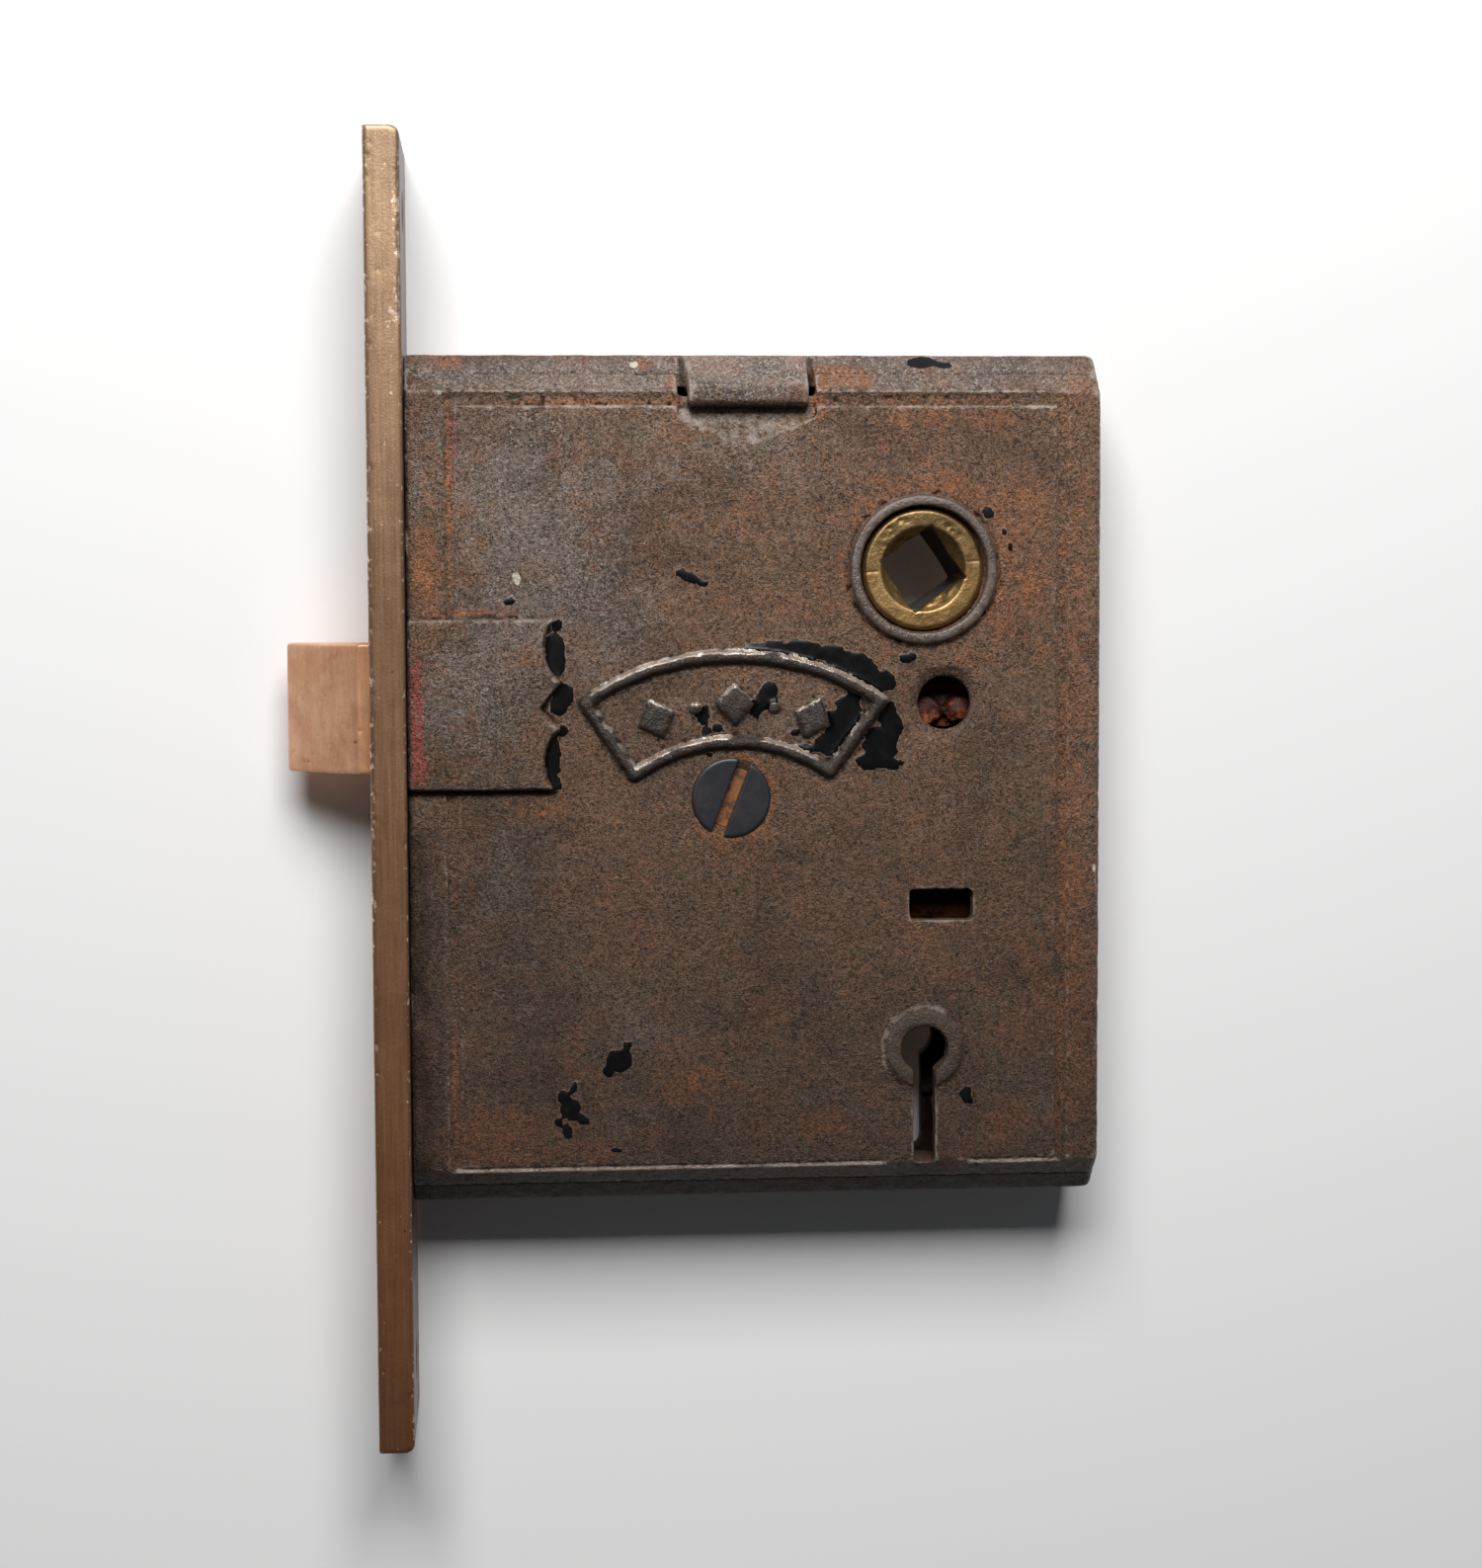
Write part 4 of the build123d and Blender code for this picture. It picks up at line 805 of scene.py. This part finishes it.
def shape_cover(cover):
    """Cast the surface; returns masks: outer face, japan field, japan, turned rings, radius."""
    cover.smooth(2, 0.5)
    v = cover.v
    x, y, z = v.T
    out = sstep(-7.2, -7.8, y)
    normals = cover.normals()
    hub_radius, key_radius = radius(x, z, HUB), radius(x, z, KEY_RING)
    field = japan_field(cover)
    japan = sstep(-0.05, 0.12, field) * (np.clip(-normals[:, 1], 0, 1) * out)
    japan = japan * sstep(-8.32, -8.22, y) * (hub_radius >= 10.4)
    turned = np.maximum(sstep(10.3, 9.7, hub_radius) * sstep(-8.3, -8.7, y),
                        0.75 * sstep(5.5, 5.0, key_radius) * sstep(-8.1, -8.3, y))
    roughness = (1 - 0.75 * turned) * (0.35 + 0.65 * sstep(-3.0, -5.0, y))
    pits = sstep(0.60, 0.80, fbm(v, 1.1, 2, 4)) * 0.10
    height = relief(v, ((0.22, 1, 0.11), (0.7, 2, 0.13), (1.35, 3, 0.12))) - pits
    # raised bead along the bottom edge
    bead = band(z, -49.66, 0.42) * between(x, 10.0, 91.0) * (np.abs(x - 72.9) > 5.4) * (y < -7.2)
    v[:, 1] -= 0.38 * bead * (0.75 + 0.5 * vnoise(v, 0.25, 9))
    cover.push(height * roughness * (1 - japan * 0.8) - 0.035 + 0.13 * japan, normals)
    cover.smooth(1, 0.35)
    return out, field, japan, turned, key_radius


def build_cover(mat):
    cover = Dense("cover")
    out, field, japan, turned, key_radius = shape_cover(cover)
    v = cover.v
    x, y, z = v.T
    edge = cover.edgeness(7)
    slope = cover.normals()[:, 2]
    field_side = sstep(1.2, 0.8, np.minimum(*[np.abs(x - side) for side in FIELD_SIDES]))

    # the V cut below the middle of the top edge
    vee = np.minimum(segment_distance(x, z, 40.4, 49.3, 48.8, 45.3),
                     segment_distance(x, z, 48.8, 45.3, 58.1, 49.3))
    inside_v = ((z > 45.3 + np.abs(x - 48.8) * 0.46) & between(x, 40.3, 58.2)
                & (z < 51.0) & (y < -5.5))
    scratch = vnoise(np.column_stack([x * 3.0, y * 0, z * 0.7]), 1.0, 77)

    # lines and raised parts; the ridge, the bottom edge, the pad's top edge and the frame's
    # up-facing faces carry painted highlights
    rim_line = band(z, 50.62, 0.28) * between(x, 11, 90) * out      # upper edge of the field
    ridge = band(z, 52.55, 0.22) * between(x, 6, 94) * out
    low_edge = band(z, -49.36, 0.50) * between(x, 10.2, 90.6)
    low_edge = low_edge * (np.abs(x - 72.9) > 5.4) * (y < -7.2)
    pad_edge = band(z, 22.95, 0.25) * (x < 24.4) * (y < -8.6)
    frame_rim = frame_area(x, y, z)
    frame_top = frame_rim * sstep(0.12, 0.50, slope) * sstep(0.22, 0.45, vnoise(v, 0.45, 33))

    # bright worn edges and painted highlights: the ridge and the field's upper edge are partly
    # worn, partly painted highlight; the bottom edge, the pad's top edge, the frame's up-facing
    # faces and the key collar's upper-left fillet are painted highlights
    wear = np.clip(edge * 12.0 - 0.12, 0, 1)
    wear *= 1 - 0.2 * field_side
    wear = np.where(inside_v, 0.45 + 0.40 * scratch, wear)
    wear = np.maximum(wear, band(vee, 0, 0.25) * (y < -7.0) * 0.75)
    wear = np.maximum(wear, rim_line * (0.55 + 0.45 * vnoise(v, 0.35, 5)))
    wear = np.maximum(wear, ridge * (0.50 + 0.50 * vnoise(v, 0.30, 6)))
    wear = np.maximum(wear * (1 - 0.8 * sstep(-49.75, -50.0, z) * out),
                      low_edge * (0.62 + 0.62 * vnoise(v, 0.25, 9)))
    wear = np.maximum(wear, pad_edge * 0.65)
    lit = sstep(0.30, 0.65, slope)
    wear = wear * (1 - frame_rim * np.where(vnoise(v, 0.7, 19) < 0.5, 0.95, 0.80 - 0.45 * lit))
    wear = np.maximum(wear, frame_top * 0.95)
    wear = wear * (1 - 0.8 * turned)
    upper_left = sstep(0.0, 3.0, (z - KEY_RING[1]) - (x - KEY_RING[0]))
    wear = np.maximum(wear, band(key_radius, 5.65, 0.40) * out * upper_left * 0.80)

    # dirt and painted shade: hollows and grooves, the groove under the ridge, the top of the V
    # under the block, under the pad, beside the plate, the low margins, the keyhole slot's mouth
    # and the frame's down-facing faces
    cav = np.clip(-edge * 9.0 - 0.10, 0, 1)
    cav *= 1 - 0.40 * field_side
    cav = np.where(inside_v, sstep(49.8, 51.0, z), cav)
    cav *= 1 - low_edge
    cav = np.maximum(cav, band(z, 52.0, 0.42) * between(x, 10, 91) * out * 0.85)
    side_line = 0.75 * band(x, 90.9, 0.20) + 0.40 * band(x, 10.6, 0.18)
    side_line = side_line * between(z, -48, 50) * out * sstep(0.25, 0.50, vnoise(v, 0.18, 31))
    under_pad = sstep(-0.2, 0.4, z) * sstep(0.85, 0.75, z) * (x < 24.3) * out
    left_edge = 0.85 * sstep(5.6, 4.9, x) * out * (vnoise(v, 0.5, 14) > 0.25)
    low_margins = 0.55 * sstep(9.6, 6.0, x) * sstep(-2, -6, z) + 0.42 * sstep(-50.2, -51.2, z)
    low_margins = low_margins * out * (0.5 + vnoise(v, 0.4, 15))
    cav = np.maximum.reduce([cav, side_line, under_pad, left_edge, low_margins])
    slot_mouth = (np.abs(x - KEY_RING[0]) < 3.5) & between(z, -50.6, -48.4)
    cav = np.where(slot_mouth, np.maximum(cav, 0.35), cav)
    cav = np.maximum(cav, frame_rim * sstep(-0.10, -0.55, slope) * 0.55)

    # smooth rims, calm areas and painted glints
    gloss = np.maximum(turned * np.where(key_radius < 5.4, 0.60, 0.95), frame_rim)
    pad_sides = np.minimum(np.abs(z - 0.85), np.abs(x - 24.0)) < 0.9
    gloss = np.maximum(gloss, 0.6 * sstep(-8.9, -9.1, y) * pad_sides * (x < 26))
    calm = np.maximum.reduce([turned * 0.7, japan * 0.9, frame_rim * 0.6])
    glint = np.maximum.reduce([
        low_edge * (0.10 + 0.85 * vnoise(v, 0.35, 34)),
        frame_top * 0.45,
        (rim_line + ridge) * 0.30 * sstep(0.35, 0.65, vnoise(v, 0.25, 35))])
    cover.paint(wear=wear, cav=cav * (1 - japan), jap=np.where(japan > 0.02, field, -1.0),
                glint=np.clip(glint, 0, 1), calm=calm, gloss=gloss)
    paint_finish(cover)
    cover.done(mat)


# ---------------------------------------------------------------- case


def build_case(mat):
    case = Dense("case")
    case.smooth(2, 0.5)
    normals = case.normals()
    v = case.v
    x, y, z = v.T
    # creases on both sides of the block in the middle of the top edge
    beside = np.minimum(np.abs(x - 40.9), np.abs(x - 57.8))
    crevice = 0.22 * sstep(0.55, 0.15, beside) * sstep(50.0, 50.6, z) * sstep(57.4, 56.6, z)
    crevice = crevice * (y < -3.0)
    height = relief(v, ((0.22, 11, 0.10), (0.7, 12, 0.10), (1.2, 13, 0.05)))
    case.push(height - 0.04 - crevice, normals)
    case.smooth(1, 0.35)
    edge = case.edgeness(5)

    top_block = between(x, 41.2, 57.5) * (y < -2.0) * (z > 50)
    block_edge = np.exp(-((y + 9.0) / 0.35) ** 2 - ((z - 53.2) / 0.5) ** 2)
    # bright worn edges and the parting line, with painted highlights on the block's front edge and
    # its up-facing faces
    wear = np.maximum.reduce([
        np.clip(edge * 9.0 - 0.12, 0, 1),
        band(y, -5.1, 0.20) * (z > 54.5) * (0.10 + 0.55 * vnoise(v, 0.28, 16)),  # parting line
        top_block * block_edge * (0.4 + 0.6 * vnoise(v, 0.4, 17)),
        top_block * 0.30 * sstep(0.2, 0.5, normals[:, 2])])
    beside = np.minimum(np.abs(x - 40.8), np.abs(x - 57.8))
    # dirt and painted shade: hollows, the dark inside, the creases beside the block, under the
    # block and along the bottom
    cav = np.maximum.reduce([
        np.clip(-edge * 6.0 - 0.15, 0, 1),
        1.3 * (np.abs(y) < 5.6) * between(x, 8, 93.4) * between(z, -49.8, 53.2),  # the inside
        0.62 * sstep(0.70, 0.40, beside) * between(z, 49, 57.3) * (y < -3.0),
        0.75 * top_block * sstep(51.9, 51.0, z),
        0.6 * sstep(-50.5, -52.5, z) * (y < 4)])
    japan = np.maximum(ell(x, z, 72.7, 56.6, 2.2, 0.8) * 1.2, ell(x, z, 75.6, 56.2, 1.0, 0.5) * 0.7)
    case.paint(wear=wear, cav=cav,
               jap=japan + (fbm(v, 0.9, 3, 60) - 0.5) * 0.7 - 2.0 * (y > -1),
               calm=np.zeros(case.n), gloss=np.zeros(case.n))
    paint_finish(case)
    case.done(mat)


# ---------------------------------------------------------------- bronze and brass pieces

rng = np.random.RandomState(7)     # one stream, drawn by plate, latch and hub in turn
rand = rng.rand


def along_plate():
    return -84 + 168 * rand()


def nick_plate(v):
    """Random nicks: their depth in mm and the bare metal they show."""
    dent, bare = np.zeros(len(v)), np.zeros(len(v))

    def nick(cx, cy, cz, r, depth, rz=None):
        q = np.exp(-(((v[:, 0] - cx) / r) ** 2 + ((v[:, 1] - cy) / r) ** 2
                     + ((v[:, 2] - cz) / (rz or r)) ** 2))
        np.maximum(dent, depth * q, out=dent)
        np.maximum(bare, q * 0.95, out=bare)

    for i in range(26):            # right-hand arris, mostly the top
        cz = 62 + 20 * rand() if i < 22 else along_plate()
        nick(4.55 + 0.25 * rand(), -11.05, cz, r=0.18 + 0.26 * rand(),
             depth=0.06 + 0.20 * rand(), rz=0.2 + 0.9 * rand())
    for i in range(26):            # left-hand arris
        cz = -14 + 34 * rand() if i < 9 else along_plate()
        nick(0.25 + 0.2 * rand(), -11.05, cz, r=0.14 + 0.22 * rand(),
             depth=0.05 + 0.14 * rand(), rz=0.2 + 0.6 * rand())
    for i in range(14):            # small dents in the narrow face
        cz = 58 + 26 * rand() if i < 6 else along_plate()
        nick(0.6 + 3.6 * rand(), -11.1, cz, r=0.10 + 0.12 * rand(), depth=0.04 + 0.08 * rand())
    for i in range(60):            # the broad outer face
        nick(0.0, -10 + 20 * rand(), along_plate(), r=0.25 + 0.5 * rand(),
             depth=0.04 + 0.10 * rand())
    return dent, bare


def build_plate():
    plate = Dense("face_plate")
    plate.smooth(2, 0.5)
    normals = plate.normals()
    v = plate.v
    x, y, z = v.T
    dent, bare = nick_plate(v)
    rub = vnoise(v, 0.30, 22)
    rub_top = sstep(3.5, 4.5, x) * (y < -10.6) * sstep(52, 66, z) * sstep(84, 78, z)
    rub_mid = sstep(4.0, 4.7, x) * (y < -10.6) * between(z, -16, 22)
    bare = np.maximum.reduce([bare, 0.35 * rub_top * sstep(0.40, 0.70, rub),
                              0.3 * rub_mid * sstep(0.50, 0.75, rub)])
    plate.push(-dent + (fbm(v, 0.35, 2, 21) - 0.5) * 0.06 - 0.03, normals)
    plate.smooth(1, 0.3)
    edge = plate.edgeness(5)
    edge_wear = np.clip(edge * 8.0 - 0.15, 0, 1) * sstep(0.42, 0.6, fbm(v, 0.4, 3, 25))

    # dark specks on the narrow face
    dark = np.zeros(plate.n)
    broken = 0.45 + 0.9 * vnoise(v, 2.2, 26)
    for i in range(26):
        cx, cz, r = 0.5 + 3.9 * rand(), along_plate(), 0.08 + 0.26 * rand() ** 3
        speck = np.exp(-(((x - cx) / r) ** 2 + ((z - cz) / r) ** 2))
        np.maximum(dark, speck * (y < -10.6) * broken, out=dark)

    chip = np.maximum.reduce([                              # how readily the face chips
        0.34 * sstep(2.8, 3.9, x) * sstep(50, 66, z) * sstep(85, 78, z),
        0.31 * sstep(3.9, 4.5, x),
        0.31 * sstep(1.0, 0.4, x) * (0.75 + 0.25 * (z > -20)),
        0.34 * sstep(1.6, 3.0, x) * sstep(60, 61, z) * sstep(65, 63, z),
        0.215 + 0.035 * sstep(20, 40, z)])
    plate.paint(bare=np.maximum(bare, edge_wear * 0.62),
                cav=np.maximum(np.clip(-edge * 6.0 - 0.3, 0, 1), dark),
                chip=chip * (y < -10.4),
                inner=sstep(4.45, 4.65, x) * sstep(0.5, 0.9, normals[:, 0]))
    plate.done(bronze_bar("bronze_plate_aged"))


def build_latch():
    latch = Dense("latch_head")
    latch.smooth(2, 0.5)
    normals = latch.normals()
    x, y, z = latch.v.T
    dent = np.zeros(latch.n)
    for i in range(24):
        r = 0.12 + 0.20 * rand()
        cx, cy, cz = -11.2 + 11 * rand(), -5.1 + 8 * rand() ** 2, 3 + 17 * rand()
        q = np.exp(-(((x - cx) ** 2 + (z - cz) ** 2) / r ** 2 + ((y - cy) / 2.5) ** 2))
        np.maximum(dent, (0.05 + 0.10 * rand()) * q, out=dent)
    latch.push(-dent + (fbm(latch.v, 0.3, 2, 31) - 0.5) * 0.06 - 0.03, normals)
    latch.paint(cav=np.clip(dent * 7, 0, 1))
    latch.done(bronze_latch("bronze_latch_rubbed"))


def build_hub():
    hub = Dense("hub")
    hub.smooth(2, 0.45)
    normals = hub.normals()
    x, y, z = hub.v.T
    dx, dz = x - HUB[0], z - HUB[1]
    from_axis = np.hypot(dx, dz)
    rim = sstep(-7.4, -7.9, y)                              # the front rim
    dent = np.zeros(hub.n)
    for i in range(16):
        angle = math.radians(35 + 130 * rand())
        reach = 5.2 + 2.0 * rand()
        r = 0.18 + 0.30 * rand()
        q = np.exp(-((dx - reach * math.cos(angle)) ** 2
                     + (dz - reach * math.sin(angle)) ** 2) / r ** 2) * rim
        np.maximum(dent, (0.03 + 0.10 * rand()) * q, out=dent)
    ragged = (fbm(hub.v, 0.8, 3, 41) - 0.5) * 0.50 * sstep(5.3, 4.4, from_axis)
    ragged = ragged * sstep(-5.6, -6.4, y)
    line = 0.05 * np.exp(-((dz - 0.35 - 0.10 * dx) / 0.14) ** 2) * rim * (from_axis > 5.8)
    hub.push(-dent + ragged - 0.02 - line, normals)
    hub.smooth(1, 0.3)
    edge = hub.edgeness(6)
    turn = math.radians(34.3)                               # of the square hole
    across = np.abs(dx * math.cos(turn) + dz * math.sin(turn))
    along = np.abs(-dx * math.sin(turn) + dz * math.cos(turn))
    inside = sstep(4.7, 4.25, np.maximum(across, along)) * sstep(-7.0, -6.2, y)
    hub.paint(wear=np.clip(edge * 16.0 - 0.1, 0, 1) * rim,
              inner=np.maximum(inside, sstep(-6.6, -5.6, y) * 0.6))
    hub.done(brass("brass_hub_turned"))


# ---------------------------------------------------------------- steel and inner iron pieces


def build_screw():
    screw = Dense("cover_screw")
    screw.smooth(2, 0.45)
    x, y, z = screw.v.T
    edge = screw.edgeness(4)
    turn = math.radians(-21.0)                              # of the screw's slot
    across = np.abs((x - SCREW[0]) * math.cos(turn) + (z - SCREW[1]) * math.sin(turn))
    screw.paint(rust=np.maximum(sstep(-7.9, -7.3, y), 0.42 * sstep(1.3, 0.8, across)),
                wear=np.clip(edge * 9.0 - 0.2, 0, 1) * (y < -7.9))
    screw.done(blued_steel("steel_blued", painted=True))


def build_tail():
    """Latch tail: lumpy with rust."""
    tail = Dense("latch_tail")
    tail.smooth(2, 0.5)
    normals = tail.normals()
    front = sstep(-1.2, -1.8, tail.v[:, 1])
    tail.push((fbm(tail.v, 0.75, 3, 71) - 0.62) * (0.16 + 0.75 * front), normals)
    tail.smooth(1, 0.4)
    tail.done(inner_iron("iron_inner_rusty"))


iron = cast_iron("cast_iron_old")
build_cover(iron)
build_case(iron)
build_plate()
build_latch()
build_hub()
build_screw()
build_tail()

# ---------------------------------------------------------------- CAD nodes that keep their shape

# painted shade: the pieces deep inside the case darkened to near black
oily_iron = inner_iron("iron_inner_oily", brightness=0.12)
dark_steel = blued_steel("steel_dark_plain", painted=False)
spring = spring_steel("spring_steel_dull")
CAD_LOOK = (  # material, nodes
    (oily_iron, ("dead_bolt_tail", "tumbler", "tumbler_spacer")),
    (bronze_latch("bronze_bolt"), ("dead_bolt_head",)),
    (dark_steel, ("face_plate_screws", "cover_dowels", "latch_rivets", "dead_bolt_rivets",
                  "dead_bolt_guide_post", "tumbler_post", "tumbler_stud",
                  "tumbler_spring_stop")),
)
for mat, names in CAD_LOOK:
    for name in names:
        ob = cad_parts[name]
        if len(ob.material_slots) == 0:
            ob.data.materials.append(mat)
        for slot in ob.material_slots:
            slot.material = mat
        bevel = ob.modifiers.new("edge", "BEVEL")
        bevel.width = 0.12 * MM
        bevel.segments = 2
        bevel.limit_method = "ANGLE"
        bevel.angle_limit = math.radians(40)

# ---------------------------------------------------------------- springs, in metres


def spring_piece(node, name):
    """A copy of a spring's CAD mesh in world space, with the dull spring steel; the CAD node is
    hidden.
    """
    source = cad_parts[node]
    mesh = source.data.copy()
    mesh.transform(source.matrix_world)
    mesh.materials.clear()
    mesh.materials.append(spring)
    mesh.update()
    mesh.name = name
    ob = bpy.data.objects.new(name, mesh)
    scene.collection.objects.link(ob)
    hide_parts(node)
    return ob


# the coil, on the lock case's body, with a mesh of its own
coil = spring_piece("latch_spring", "latch_spring_coil")
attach(coil, "lock_case")
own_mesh(coil)

# the leaf, with its placement baked into the mesh
leaf = spring_piece("tumbler_spring", "tumbler_spring_leaf")
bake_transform(leaf)

# ---------------------------------------------------------------- stage, in metres


def build_backdrop():
    """A pale sheet just behind the lock, clear when seen from behind."""
    half = 1.6
    y = cad_hi.y + 0.00015
    mesh = bpy.data.meshes.new("backdrop")
    mesh.from_pydata([(-half, y, -half), (half, y, -half), (half, y, half), (-half, y, half)],
                     [], [(0, 1, 2, 3)])
    mesh.update()
    ob = bpy.data.objects.new("backdrop", mesh)
    scene.collection.objects.link(ob)
    m = Mat("paper")
    m.set(Base_Color=(0.84, 0.845, 0.85), Roughness=0.85, Specular_IOR_Level=0.2)
    either = m.node("MixShader")
    m.put(either.inputs[0], m.node("NewGeometry").outputs["Backfacing"])
    m.put(either.inputs[1], m.shader.outputs[0])
    m.put(either.inputs[2], m.node("BsdfTransparent").outputs[0])
    m.put(m.out.inputs[0], either.outputs[0])
    mesh.materials.append(m.mat)
    ob.visible_shadow = False


def build_world():
    """Dim cool fill; the camera alone sees a pale grey past the backdrop's edge."""
    world = bpy.data.worlds.new("world")
    world.use_nodes = True
    scene.world = world
    nodes, link = world.node_tree.nodes, world.node_tree.links.new
    fill = nodes["Background"]
    fill.inputs["Color"].default_value = (0.93, 0.96, 1.0, 1)
    fill.inputs["Strength"].default_value = 0.055
    pale = nodes.new("ShaderNodeBackground")
    pale.inputs["Color"].default_value = (0.74, 0.745, 0.75, 1)
    pale.inputs["Strength"].default_value = 1.0
    either = nodes.new("ShaderNodeMixShader")
    link(nodes.new("ShaderNodeLightPath").outputs["Is Camera Ray"], either.inputs[0])
    link(fill.outputs[0], either.inputs[1])
    link(pale.outputs[0], either.inputs[2])
    link(either.outputs[0], nodes["World Output"].inputs[0])


def softbox(name, place, target, width, height, power, colour=(1, 1, 1)):
    light = bpy.data.lights.new(name, "AREA")
    light.shape = "RECTANGLE"
    light.size = width
    light.size_y = height
    light.energy = power
    light.color = colour
    ob = bpy.data.objects.new(name, light)
    scene.collection.objects.link(ob)
    ob.location = place
    ob.rotation_mode = "QUATERNION"
    ob.rotation_quaternion = (Vector(target) - Vector(place)).to_track_quat("-Z", "Y")


def build_camera():
    camera = bpy.data.cameras.new("camera")
    camera.sensor_fit = "VERTICAL"
    camera.sensor_height = 36.0
    camera.lens = 67.4283
    camera.clip_start = 0.01
    camera.clip_end = 20.0
    ob = bpy.data.objects.new("camera", camera)
    scene.collection.objects.link(ob)
    right = Vector((0.996694, -0.081141, -0.004036)).normalized()
    up = Vector((0.009892, 0.071905, 0.997362))
    up = (up - right * up.dot(right)).normalized()
    turn = Matrix((right, up, right.cross(up))).transposed().to_4x4()
    ob.matrix_world = Matrix.Translation((0.01713296, -0.39102044, 0.02931966)) @ turn
    scene.camera = ob


build_backdrop()
build_world()
softbox("key", place=(0.02, -0.46, 0.40), target=(0.04, 0.0, 0.02), width=0.36, height=0.30,
        power=5.3, colour=(1.0, 0.99, 0.98))
softbox("behind", place=(0.35, 0.75, 0.45), target=(0.04, 0.0, 0.0), width=0.8, height=0.8,
        power=4.8)
build_camera()
